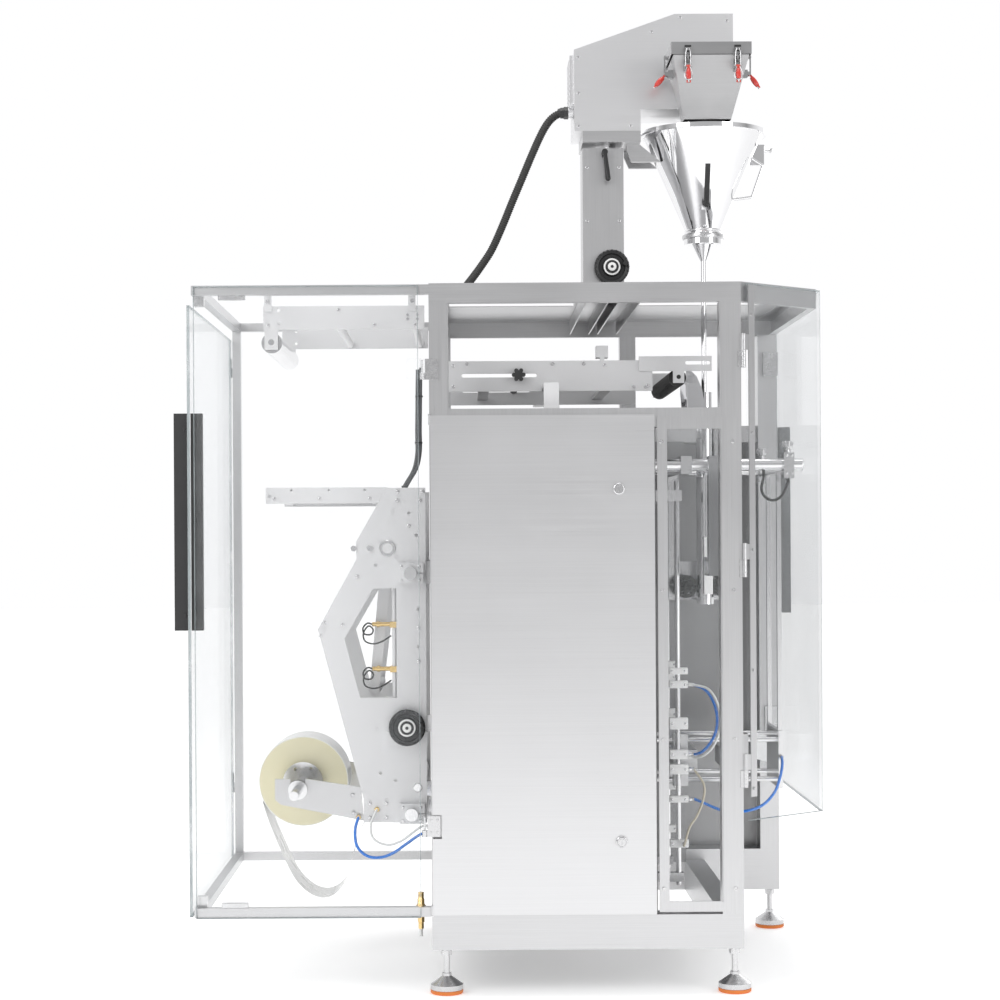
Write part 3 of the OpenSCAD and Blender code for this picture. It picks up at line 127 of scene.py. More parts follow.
def brushing_group():
    """Long fine scratches along one direction, with slow cloudy change over a sheet."""
    tree, start, end = group("brushing", [
        ("Stretch", "NodeSocketVector", (4, 4, 900)), ("Cloud Scale", "NodeSocketFloat", 3.0),
        ("Depth", "NodeSocketFloat", 0.25), ("Light", "NodeSocketColor", (0.8, 0.8, 0.81, 1)),
        ("Dark", "NodeSocketColor", (0.6, 0.6, 0.62, 1)), ("Roughness", "NodeSocketFloat", 0.3)],
        [("Color", "NodeSocketColor"), ("Roughness", "NodeSocketFloat"), ("Height", "NodeSocketFloat")])
    place = add(tree, "ShaderNodeTexCoord").outputs["Object"]
    stretched = add(tree, "ShaderNodeVectorMath", operation="MULTIPLY")
    tree.links.new(place, stretched.inputs[0])
    tree.links.new(start.outputs["Stretch"], stretched.inputs[1])
    lines = add(tree, "ShaderNodeTexNoise", Vector=stretched.outputs[0], Scale=1.0, Detail=4.0,
                Roughness=0.65).outputs["Fac"]
    clouds = add(tree, "ShaderNodeTexNoise", Vector=place, Scale=start.outputs["Cloud Scale"],
                 Detail=2.0).outputs["Fac"]
    both = maths(tree, "ADD", maths(tree, "MULTIPLY", lines, 0.75), maths(tree, "MULTIPLY", clouds, 0.25))
    mix = add(tree, "ShaderNodeMix", data_type="RGBA")
    tree.links.new(both, mix.inputs["Factor"])
    tree.links.new(start.outputs["Dark"], mix.inputs["A"])
    tree.links.new(start.outputs["Light"], mix.inputs["B"])
    spread = maths(tree, "MULTIPLY", maths(tree, "SUBTRACT", both, 0.5), start.outputs["Depth"])
    tree.links.new(mix.outputs["Result"], end.inputs["Color"])
    tree.links.new(maths(tree, "ADD", start.outputs["Roughness"], spread, True), end.inputs["Roughness"])
    tree.links.new(lines, end.inputs["Height"])
    return tree


def speckle_group():
    """Fine grain of moulded or blasted surfaces with a little wear and dust."""
    tree, start, end = group("speckle", [
        ("Scale", "NodeSocketFloat", 900.0), ("Base", "NodeSocketColor", (0.05, 0.05, 0.05, 1)),
        ("Worn", "NodeSocketColor", (0.12, 0.12, 0.12, 1)), ("Roughness", "NodeSocketFloat", 0.4),
        ("Spread", "NodeSocketFloat", 0.12)],
        [("Color", "NodeSocketColor"), ("Roughness", "NodeSocketFloat"), ("Height", "NodeSocketFloat")])
    place = add(tree, "ShaderNodeTexCoord").outputs["Object"]
    grain = add(tree, "ShaderNodeTexNoise", Vector=place, Scale=start.outputs["Scale"], Detail=2.0).outputs["Fac"]
    patches = add(tree, "ShaderNodeTexNoise", Vector=place, Scale=14.0, Detail=5.0).outputs["Fac"]
    edge = add(tree, "ShaderNodeNewGeometry").outputs["Pointiness"]
    worn = maths(tree, "MULTIPLY", maths(tree, "SUBTRACT", edge, 0.52, True), 7.0, True)
    worn = maths(tree, "MULTIPLY", worn, patches)
    mask = maths(tree, "ADD", worn, maths(tree, "MULTIPLY", patches, 0.25), True)
    mix = add(tree, "ShaderNodeMix", data_type="RGBA")
    tree.links.new(mask, mix.inputs["Factor"])
    tree.links.new(start.outputs["Base"], mix.inputs["A"])
    tree.links.new(start.outputs["Worn"], mix.inputs["B"])
    rough = maths(tree, "ADD", start.outputs["Roughness"],
                  maths(tree, "MULTIPLY", maths(tree, "SUBTRACT", patches, 0.5), start.outputs["Spread"]), True)
    tree.links.new(mix.outputs["Result"], end.inputs["Color"])
    tree.links.new(rough, end.inputs["Roughness"])
    tree.links.new(grain, end.inputs["Height"])
    return tree


BRUSHING = brushing_group()
SPECKLE = speckle_group()


def new_material(name):
    mat = bpy.data.materials.new(name)
    mat.use_nodes = True
    return mat, mat.node_tree, mat.node_tree.nodes["Principled BSDF"]


def use_group(tree, shader, which, bump, distance, **values):
    """Places a group in a material and joins it to the shader's colour, roughness and bump."""
    node = tree.nodes.new("ShaderNodeGroup")
    node.node_tree = which
    for key, value in values.items():
        node.inputs[key.replace("_", " ")].default_value = value
    tree.links.new(node.outputs["Color"], shader.inputs["Base Color"])
    tree.links.new(node.outputs["Roughness"], shader.inputs["Roughness"])
    bump = add(tree, "ShaderNodeBump", Strength=bump, Distance=distance, Height=node.outputs["Height"])
    tree.links.new(bump.outputs["Normal"], shader.inputs["Normal"])
    return node


def shade(value, alpha=1.0):
    return (value, value, value * 1.01, alpha)


def brushed(name, stretch, light, dark, rough, depth=0.25, bump=0.12, anisotropic=0.4, metallic=1.0):
    mat, tree, shader = new_material(name)
    shader.inputs["Metallic"].default_value = metallic
    shader.inputs["Anisotropic"].default_value = anisotropic
    use_group(tree, shader, BRUSHING, bump, 0.0004, Stretch=stretch, Depth=depth, Light=shade(light),
              Dark=shade(dark), Roughness=rough)
    return mat


def moulded(name, base, worn, rough, scale=900.0, bump=0.1, metallic=0.0, coat=0.0):
    mat, tree, shader = new_material(name)
    shader.inputs["Metallic"].default_value = metallic
    shader.inputs["Coat Weight"].default_value = coat
    use_group(tree, shader, SPECKLE, bump, 0.0003, Scale=scale, Base=(*base, 1), Worn=(*worn, 1),
              Roughness=rough)
    return mat


def clear(name, tint, haze, rim):
    """Clear sheet: almost see-through face on, a little brighter where it is seen at a slant."""
    mat, tree, shader = new_material(name)
    shader.inputs["Base Color"].default_value = (*tint, 1)
    shader.inputs["Roughness"].default_value = 0.05
    shader.inputs["IOR"].default_value = 1.49
    dust = add(tree, "ShaderNodeTexNoise", Scale=9.0, Detail=6.0)
    tree.links.new(add(tree, "ShaderNodeTexCoord").outputs["Object"], dust.inputs["Vector"])
    slant = add(tree, "ShaderNodeFresnel", IOR=1.2).outputs["Fac"]
    whole = maths(tree, "ADD", maths(tree, "MULTIPLY", dust.outputs["Fac"], haze),
                  maths(tree, "MULTIPLY", slant, rim), True)
    tree.links.new(whole, shader.inputs["Alpha"])
    return mat


STEEL_X = brushed("brushed_along_x", (5, 700, 700), 0.68, 0.50, 0.32)
STEEL_Z = brushed("brushed_upright", (700, 700, 5), 0.68, 0.50, 0.32)
DOOR_STEEL = brushed("door_brushing", (2.5, 900, 1100), 0.76, 0.60, 0.33, depth=0.3, bump=0.2)
HOUSING_STEEL = brushed("housing_brushing", (4, 500, 900), 0.86, 0.76, 0.34)
# painted shade: the feed chute uses the drive housing's brushing in darker tones, so its darkness is shade painted
# into the steel
SHADED_CHUTE_STEEL = brushed("chute_brushing_painted_shade", (4, 500, 900), 0.46, 0.33, 0.36)
# painted shade: the sheet panels are brushed in much darker tones than the frame's steel, standing for the shade they
# lie in inside the cabinet
SHADED_SHEET_STEEL = brushed("inner_sheets_painted_shade", (600, 600, 4), 0.36, 0.26, 0.38)
ROD_STEEL = brushed("ground_rods", (300, 300, 300), 0.78, 0.66, 0.16, depth=0.12, bump=0.04)
ZINC = brushed("zinc_plate", (90, 90, 90), 0.72, 0.55, 0.26, depth=0.2, bump=0.08)
MIRROR = brushed("mirror_polish", (60, 60, 60), 0.88, 0.80, 0.06, depth=0.06, bump=0.01, anisotropic=0.0)
WHITE_PLATE = brushed("white_anodised", (400, 400, 400), 0.74, 0.66, 0.40, depth=0.15, bump=0.05,
                      anisotropic=0.0, metallic=0.35)
WHITE_BLOCK = moulded("white_clamps", (0.95, 0.95, 0.95), (0.86, 0.86, 0.85), 0.42)
BLACK = moulded("black_moulding", (0.012, 0.012, 0.013), (0.05, 0.05, 0.05), 0.38)
BLACK_SATIN = moulded("black_pull_handle", (0.016, 0.016, 0.017), (0.05, 0.05, 0.05), 0.46, scale=1500.0)
BLACK_RUBBER = moulded("black_rubber", (0.02, 0.02, 0.02), (0.06, 0.06, 0.055), 0.62, scale=500.0)
ORANGE = moulded("orange_rubber", (0.80, 0.20, 0.025), (0.55, 0.2, 0.06), 0.55, scale=400.0, bump=0.2)
BRASS = moulded("turned_brass", (0.72, 0.5, 0.2), (0.85, 0.68, 0.36), 0.26, metallic=1.0)
BLUE_TUBE = moulded("blue_tube", (0.01, 0.17, 0.68), (0.04, 0.25, 0.7), 0.26, coat=0.3)
WHITE_TUBE = moulded("white_tube", (0.8, 0.81, 0.8), (0.7, 0.7, 0.68), 0.3, coat=0.2)
BEIGE_TUBE = moulded("beige_tube", (0.62, 0.56, 0.44), (0.5, 0.46, 0.38), 0.34)
GREY_CABLE = moulded("grey_cable", (0.07, 0.075, 0.08), (0.15, 0.15, 0.15), 0.45)
RED = moulded("red_grip", (0.55, 0.02, 0.015), (0.7, 0.12, 0.08), 0.24, coat=0.5)
WHITE_RING = moulded("white_ring", (0.86, 0.86, 0.85), (0.75, 0.75, 0.73), 0.3)
FILM_WEB = moulded("white_film", (0.86, 0.86, 0.84), (0.8, 0.8, 0.78), 0.28, scale=120.0, bump=0.05, coat=0.3)
CLEAR = clear("clear_acrylic", (0.86, 0.90, 0.92), 0.05, 0.35)
PANE_EDGE = clear("polished_pane_edges", (0.42, 0.47, 0.48), 1.1, 1.0)


def roll_material():
    """Wound film: fine rings round the roll's axis on its sides, and a smooth white outer wrap."""
    mat, tree, shader = new_material("wound_film")
    place = add(tree, "ShaderNodeTexCoord").outputs["Object"]
    axis = at(-364, 500, 514)
    parts = add(tree, "ShaderNodeSeparateXYZ")
    tree.links.new(place, parts.inputs[0])
    across = maths(tree, "SUBTRACT", parts.outputs["X"], axis.x)
    above = maths(tree, "SUBTRACT", parts.outputs["Z"], axis.z)
    radius = maths(tree, "SQRT", maths(tree, "ADD", maths(tree, "MULTIPLY", across, across),
                                       maths(tree, "MULTIPLY", above, above)))
    wraps = add(tree, "ShaderNodeTexNoise", noise_dimensions="1D", Scale=1.0, Detail=5.0)
    tree.links.new(maths(tree, "MULTIPLY", radius, 900.0), wraps.inputs["W"])
    ramp = add(tree, "ShaderNodeValToRGB")
    ramp.color_ramp.elements[0].position, ramp.color_ramp.elements[0].color = 0.25, (0.74, 0.68, 0.42, 1)
    ramp.color_ramp.elements[1].position, ramp.color_ramp.elements[1].color = 0.75, (0.88, 0.84, 0.62, 1)
    tree.links.new(wraps.outputs["Fac"], ramp.inputs["Fac"])
    outside = maths(tree, "MULTIPLY", maths(tree, "SUBTRACT", radius, 0.1222), 900.0, True)
    mix = add(tree, "ShaderNodeMix", data_type="RGBA")
    tree.links.new(outside, mix.inputs["Factor"])
    tree.links.new(ramp.outputs["Color"], mix.inputs["A"])
    mix.inputs["B"].default_value = (0.88, 0.88, 0.85, 1)
    tree.links.new(mix.outputs["Result"], shader.inputs["Base Color"])
    shader.inputs["Roughness"].default_value = 0.32
    shader.inputs["Coat Weight"].default_value = 0.25
    bump = add(tree, "ShaderNodeBump", Strength=0.25, Distance=0.0004, Height=wraps.outputs["Fac"])
    tree.links.new(bump.outputs["Normal"], shader.inputs["Normal"])
    return mat


FINISH = {
    "base_frame": STEEL_X, "frame_posts": STEEL_Z, "top_frame": STEEL_X, "sheet_panels": SHADED_SHEET_STEEL,
    "window_frame": STEEL_Z, "window_pane": CLEAR, "panel_screws": ZINC, "levelling_feet": ZINC,
    "foot_pads": ORANGE, "cage_frame": STEEL_X, "cage_hinges": ZINC, "electric_panel": WHITE_BLOCK,
    "guide_bars": ROD_STEEL, "upper_roller_frame": WHITE_PLATE, "web_carriage": WHITE_PLATE,
    "forming_shoulder": MIRROR, "forming_tube": MIRROR, "jaw_guides": ROD_STEEL, "column": STEEL_Z,
    "cabinet_door": DOOR_STEEL, "upper_lock": ZINC, "lower_lock": ZINC, "rear_side_pane": CLEAR,
    "rear_end_pane": CLEAR, "rear_end_handle": BLACK_SATIN, "front_pane": CLEAR,
    "front_door_strip": STEEL_Z, "front_handle": BLACK_SATIN, "unwinder_plates": WHITE_PLATE,
    "roll_arms": STEEL_X, "splice_table": WHITE_PLATE, "web_sensors": BRASS, "unwind_shaft": ROD_STEEL,
    "film_roll": roll_material(),
    "dancer_arm": WHITE_PLATE, "feed_roller": ROD_STEEL, "unwinder_handwheel": BLACK,
    "upper_roller": ROD_STEEL, "ribbed_roller": BLACK_RUBBER, "star_knob": BLACK,
    "left_jaw": STEEL_Z, "right_jaw": STEEL_Z, "side_sealer": WHITE_BLOCK, "left_pull_wheel": BLACK_RUBBER,
    "right_pull_wheel": BLACK_RUBBER, "head_supports": STEEL_X, "drive_housing": HOUSING_STEEL,
    "feed_chute": SHADED_CHUTE_STEEL, "cone_hopper": MIRROR, "fill_tube": MIRROR, "auger_screw": ROD_STEEL,
    "drive_motor": BLACK, "column_handwheel": BLACK, "column_clamp_lever": BLACK,
    "near_latches": RED, "left_latch": RED, "right_latch": RED}

for node, finish in FINISH.items():
    part = bpy.data.objects[node] if node in bpy.data.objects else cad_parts[node]
    for slot in part.material_slots:
        slot.material = finish
    if not part.material_slots:
        part.data.materials.append(finish)

# ---------- makers of pieces ----------

def piece(name, bm, material, body, smooth_angle=35):
    """Turns a bmesh into a piece that rides on a body; given a tuple of bodies and points, it is left fixed in place
    without a parent.
    """
    mesh = bpy.data.meshes.new(name)
    bmesh.ops.recalc_face_normals(bm, faces=bm.faces)
    bm.to_mesh(mesh)
    bm.free()
    obj = bpy.data.objects.new(name, mesh)
    bpy.context.scene.collection.objects.link(obj)
    mesh.materials.append(material)
    mesh.shade_smooth()
    mesh.set_sharp_from_angle(angle=math.radians(smooth_angle))
    if isinstance(body, tuple):
        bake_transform(obj)
    else:
        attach(obj, body)
    return obj


def add_slab(bm, low, high, bevel=0.0008):
    """A block between two corners with eased edges."""
    low, high = Vector(low), Vector(high)
    part = bmesh.ops.create_cube(bm, size=1.0)["verts"]
    for v in part:
        v.co = Vector((low[i] + (v.co[i] + 0.5) * (high[i] - low[i]) for i in range(3)))
    if bevel:
        edges = {e for v in part for e in v.link_edges}
        bmesh.ops.bevel(bm, geom=list(edges), offset=bevel, segments=2, affect="EDGES", profile=0.6)


def add_lathe(bm, profile, centre, axis, steps=40):
    """A turned shape: profile is (distance along the axis, radius) from the centre."""
    axis = Vector(axis).normalized()
    side = axis.orthogonal().normalized()
    up = axis.cross(side)
    rings = []
    for along, radius in profile:
        place = Vector(centre) + axis * along
        if radius < 1e-6:
            rings.append([bm.verts.new(place)])
            continue
        rings.append([bm.verts.new(place + (side * math.cos(a) + up * math.sin(a)) * radius)
                      for a in (TURN * k / steps for k in range(steps))])
    for low, high in zip(rings, rings[1:]):
        for k in range(steps):
            corners = [low[k % len(low)], low[(k + 1) % len(low)],
                       high[(k + 1) % len(high)], high[k % len(high)]]
            corners = list(dict.fromkeys(corners))
            if len(corners) > 2:
                bm.faces.new(corners)
    for ring in (rings[0], rings[-1]):
        if len(ring) > 2:
            bm.faces.new(ring)


def smooth_route(points, step):
    """Even points along a smooth curve through the given ones."""
    pts = [Vector(p) for p in points]
    ends = [pts[0] * 2 - pts[1]] + pts + [pts[-1] * 2 - pts[-2]]
    out = []
    for i in range(1, len(ends) - 2):
        a, b, c, d = ends[i - 1:i + 3]
        count = max(2, round((c - b).length / step))
        for k in range(count):
            t = k / count
            out.append(0.5 * (2 * b + (c - a) * t + (2 * a - 5 * b + 4 * c - d) * t * t
                              + (3 * b - a - 3 * c + d) * t ** 3))
    return out + [pts[-1]]


def add_tube(bm, route, radius, steps=14):
    """A tube swept along a route; radius is a number or a function of the distance along it."""
    frame_side = (route[1] - route[0]).orthogonal().normalized()
    rings, along = [], 0.0
    for i, p in enumerate(route):
        ahead = (route[min(i + 1, len(route) - 1)] - route[max(i - 1, 0)]).normalized()
        frame_side = (frame_side - ahead * frame_side.dot(ahead)).normalized()
        up = ahead.cross(frame_side)
        if i:
            along += (p - route[i - 1]).length
        r = radius(along) if callable(radius) else radius
        rings.append([bm.verts.new(p + (frame_side * math.cos(a) + up * math.sin(a)) * r)
                      for a in (TURN * k / steps for k in range(steps))])
    for low, high in zip(rings, rings[1:]):
        for k in range(steps):
            bm.faces.new((low[k], low[(k + 1) % steps], high[(k + 1) % steps], high[k]))
    bm.faces.new(rings[0])
    bm.faces.new(rings[-1])


def tube(name, points, diameter, material, body, step=0.006, steps=14):
    bm = bmesh.new()
    add_tube(bm, smooth_route(points, step), diameter / 2, steps)
    return piece(name, bm, material, body)


def screws(name, places, axis, diameter, material, body, height=None, hexagon=True):
    """Socket screws: a domed head with a recess, all in one piece."""
    bm = bmesh.new()
    r = diameter / 2
    h = height or r * 0.7
    for place in places:
        add_lathe(bm, [(0, r), (h * 0.6, r), (h * 0.9, r * 0.88), (h, r * 0.7), (h, r * 0.48)],
                  place, axis, 24)
        add_lathe(bm, [(h * 1.001, r * 0.48), (h * 0.4, r * 0.45), (h * 0.4, 0)], place, axis,
                  6 if hexagon else 20)
    return piece(name, bm, material, body)

# ---------- cords, tubes and conduit ----------

def route_mm(points):
    return [at(*p) for p in points]


def conduit():
    """Corrugated conduit from the housing's gland down into the top frame."""
    route = smooth_route(route_mm([
        (391, 500, 2395), (372, 500, 2395), (350, 498, 2384), (330, 495, 2362), (310, 492, 2326),
        (284, 488, 2268), (258, 484, 2206), (230, 481, 2140), (202, 479, 2072), (172, 474, 2006),
        (143, 463, 1960), (118, 446, 1924), (98, 427, 1896), (86, 412, 1876), (80, 405, 1866),
        (80, 405, 1855.2)]), 0.0016)
    bm = bmesh.new()
    add_tube(bm, route, lambda s: 0.0108 + 0.0009 * math.sin(TURN * s / 0.0062), 18)
    hose = piece("conduit_hose", bm, BLACK_RUBBER, "head", 70)
    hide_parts("head_conduit")
    bm = bmesh.new()
    add_lathe(bm, [(0, 0.0175), (0.012, 0.0175), (0.013, 0.0155), (0.022, 0.0150), (0.024, 0.0125)],
              at(391, 500, 2395), (-1, 0, 0), 6)
    add_lathe(bm, [(0, 0.0152), (0.016, 0.0150), (0.030, 0.0118)], at(391, 500, 2395), (-1, 0, 0), 32)
    piece("conduit_gland", bm, BLACK, "head")


def air_lines():
    """Cable bundle, the unwinder's air tubes, the sealing bay's arcs and the cable under the front clamp."""
    bundle = [(-30, 218.4, 1650), (-31, 219, 1600), (-32, 222, 1540), (-33, 224, 1480), (-33, 225, 1425),
              (-42, 225, 1380), (-62, 224, 1345), (-80, 223, 1312), (-86, 222.4, 1292)]
    down = ("frame", "unwinder", at(-33, 224, 1490), at(-68, 224, 1345))
    across = ("unwinder", "frame", at(-165, 170, 400), at(-15, 170, 400))
    lines = []
    for k, (dx, dy, size, mat) in enumerate([(-4.6, -2.4, 9, GREY_CABLE), (4.6, -2.0, 9, GREY_CABLE),
                                             (0, 5.2, 8.5, WHITE_TUBE)]):
        lines.append(tube("bundle_cable_%d" % k, route_mm([(x + dx, y + dy, z + 0.6 * dx) for x, y, z in bundle]),
                          size / 1000, mat, down, 0.012))
    straps = bmesh.new()
    for x, y, z in [(-31, 220, 1575), (-33, 224.6, 1450), (-70, 223.6, 1328)]:
        add_lathe(straps, [(-0.002, 0.0103), (-0.002, 0.0108), (0.002, 0.0108), (0.002, 0.0103)], at(x, y, z),
                  (0, 0, 1) if z > 1400 else (-0.5, 0, -1), 20)
    piece("cable_ties", straps, BLACK, down)
    for name, mat, size, points in [
            ("blue_feed_tube", BLUE_TUBE, 8, [
                (-200, 199.6, 441), (-200, 190, 441), (-208, 173, 410), (-203, 168, 368), (-176, 164, 342),
                (-140, 162, 338), (-105, 162, 350), (-70, 162, 374), (-30, 162, 400), (-0.6, 162, 400)]),
            ("white_feed_tube", WHITE_TUBE, 6.5, [
                (-150, 199.6, 462), (-150, 190, 462), (-166, 180, 425), (-160, 176, 388), (-125, 174, 370),
                (-85, 174, 380), (-30, 174, 418), (-0.6, 174, 418)]),
            ("blue_arc_tube", BLUE_TUBE, 8, [
                (704.4, 344, 783), (718, 344, 783), (752, 326, 768), (772, 312, 735), (780, 304, 695),
                (776, 304, 655), (760, 310, 622), (738, 322, 598), (718, 344, 590), (704.4, 344, 590)]),
            ("blue_low_tube", BLUE_TUBE, 8, [
                (704.4, 344, 466), (722, 344, 466), (795, 318, 438), (850, 302, 437), (900, 298, 453),
                (935, 300, 488), (953, 310, 530), (962, 330, 562), (966, 365, 578), (966, 383.6, 578)]),
            ("white_arc_tube", WHITE_TUBE, 6.5, [
                (704.4, 336, 783), (718, 336, 783), (758, 318, 772), (780, 304, 738), (788, 296, 695),
                (784, 296, 652), (766, 302, 612), (740, 314, 588), (718, 336, 582), (704.4, 336, 582)]),
            ("beige_arc_tube", BEIGE_TUBE, 6.5, [
                (704.4, 346, 549), (718, 346, 549), (745, 332, 510), (744, 326, 470), (726, 320, 425),
                (704, 315, 392), (690, 318, 344), (690, 337.6, 344)]),
            ("clamp_cable_loop", BLACK_RUBBER, 7.5, [
                (969, 250, 1347.6), (969, 250, 1335), (951, 246, 1300), (927, 246, 1289), (906, 248, 1300),
                (898, 250, 1322), (904, 250, 1352), (904, 250, 1369.2)])]:
        lines.append(tube(name, route_mm(points), size / 1000, mat, across if "feed" in name else "frame"))
    for line in lines:
        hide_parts("air_tubes")
    fittings = bmesh.new()
    for place, way in [((704.4, 344, 783), (1, 0, 0)), ((704.4, 344, 590), (1, 0, 0)),
                       ((704.4, 344, 466), (1, 0, 0)), ((704.4, 346, 549), (1, 0, 0)),
                       ((690, 337.6, 344), (0, -1, 0)), ((966, 383.6, 578), (0, -1, 0)),
                       ((-0.6, 162, 400), (-1, 0, 0)), ((-0.6, 174, 418), (-1, 0, 0))]:
        add_lathe(fittings, [(0, 0.0062), (0.007, 0.0062), (0.008, 0.0056), (0.012, 0.0056)], at(*place), way, 6)
        add_lathe(fittings, [(0.0115, 0.0060), (0.015, 0.0058), (0.016, 0.0045)], at(*place), way, 20)
    piece("tube_fittings", fittings, ZINC, "frame")
    fittings = bmesh.new()
    for place in [(-200, 199.6, 441), (-150, 199.6, 462)]:
        add_lathe(fittings, [(0, 0.0075), (0.006, 0.0075), (0.007, 0.006), (0.011, 0.006)], at(*place), (0, -1, 0), 6)
    piece("plate_fittings", fittings, BRASS, "unwinder")


def sensor_leads():
    """Black leads of the two web sensors, each curled once on its way to the guide rod."""
    for k, z in enumerate((958, 837)):
        tube("sensor_lead_%d" % k, route_mm([
            (-163, 262, z), (-176, 262, z + 3), (-188, 260, z - 10), (-184, 257, z - 26), (-166, 254, z - 27),
            (-160, 250, z - 14), (-172, 247, z - 4), (-186, 244, z - 22), (-182, 241, z - 44), (-160, 239, z - 52),
            (-136, 239, z - 46), (-110.5, 239, z - 30)]), 0.0045, BLACK_RUBBER, "unwinder", 0.004, 10)


def film():
    """The slack film from the roll, down in a loop and over the lower guide bar."""
    route = smooth_route(route_mm([(x, 500, z) for x, z in [
        (-479, 457), (-463, 405), (-433, 330), (-392, 245), (-352, 203), (-312, 188), (-276, 200), (-247, 238),
        (-230, 298), (-214, 358), (-184, 410), (-137, 445), (-100, 458), (-80, 463.5), (-66, 468), (-56, 470.6),
        (-45, 468), (-37, 460), (-34.5, 448), (-34.5, 438)]]), 0.006)
    bm = bmesh.new()
    half, rows = 0.085, []
    for i, p in enumerate(route):
        row = []
        for k in range(9):
            across = -1 + 2 * k / 8
            ripple = 0.0006 * math.sin(i * 0.17 + 2.2 * across) * (1 - across * across)
            ahead = (route[min(i + 1, len(route) - 1)] - route[max(i - 1, 0)]).normalized()
            row.append(bm.verts.new(p + Vector((-ahead.z, 0, ahead.x)) * ripple + Vector((0, half * across, 0))))
        rows.append(row)
    for a, b in zip(rows, rows[1:]):
        for k in range(8):
            bm.faces.new((a[k], a[k + 1], b[k + 1], b[k]))
    sheet = piece("slack_film", bm, FILM_WEB, "unwinder", 80)
    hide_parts("film_web")


# ---------- fittings ----------

def handwheel_trim(name, x, y, z, body):
    """Grip lobes, white rings, cap and centre pin on a handwheel's near face."""
    centre = at(x, y, z)
    out = (0, -1, 0)
    bm = bmesh.new()
    lobes = 24
    for k in range(lobes):
        a = TURN * k / lobes
        add_lathe(bm, [(-0.016, 0.0036), (-0.003, 0.0036), (-0.0012, 0.0022), (-0.0010, 0)],
                  centre + Vector((math.cos(a) * 0.0458, 0, math.sin(a) * 0.0458)), out, 10)
    add_lathe(bm, [(-0.001, 0.0182), (0.0030, 0.0180), (0.0042, 0.0165), (0.0042, 0.0120)], centre, out, 40)
    piece(name + "_rim", bm, BLACK, body)
    bm = bmesh.new()
    add_lathe(bm, [(-0.0005, 0.0236), (0.0012, 0.0232), (0.0018, 0.0222), (0.0018, 0.0190), (0.0004, 0.0184)],
              centre, out, 48)
    add_lathe(bm, [(0.0030, 0.0122), (0.0052, 0.0118), (0.0060, 0.0100), (0.0060, 0)], centre, out, 40)
    piece(name + "_rings", bm, WHITE_RING, body)
    bm = bmesh.new()
    add_lathe(bm, [(0.0058, 0.0045), (0.0066, 0.0042), (0.0068, 0)], centre, out, 20)
    piece(name + "_pin", bm, BLACK, body)


def lock_face(name, x, z, body):
    """Ring and recessed black seal on the front of a quarter-turn lock."""
    centre = at(x, -20, z)
    bm = bmesh.new()
    add_lathe(bm, [(0, 0.0152), (0.0014, 0.0150), (0.0026, 0.0138), (0.0030, 0.0122), (0.0018, 0.0110),
                   (0.0018, 0.0085)], centre, (0, -1, 0), 48)
    piece(name + "_ring", bm, ZINC, body)
    bm = bmesh.new()
    add_lathe(bm, [(0.0001, 0.0104), (0.0006, 0.0104), (0.0006, 0.0080)], centre, (0, -1, 0), 36)
    piece(name + "_seal", bm, BLACK_RUBBER, body)


def white_clamps():
    """White plastic halves of the clamps on the two upright rods, split and screwed."""
    bm, heads = bmesh.new(), []
    for y in (350, 650):
        for low, high in [(334, 354), (458, 475), (536, 562), (578, 602), (660, 691), (774, 793), (812, 829)]:
            add_slab(bm, at(653.2, y - 12.8, low - 0.6), at(704.3, y - 0.6, high + 0.6), 0.0016)
            add_slab(bm, at(653.2, y + 0.6, low - 0.6), at(704.3, y + 12.8, high + 0.6), 0.0016)
            heads += [at(x, y - 12.8, (low + high) / 2) for x in (660, 696)]
    piece("rod_clamp_halves", bm, WHITE_BLOCK, "frame")
    screws("rod_clamp_screws", heads, (0, -1, 0), 0.007, ZINC, "frame")


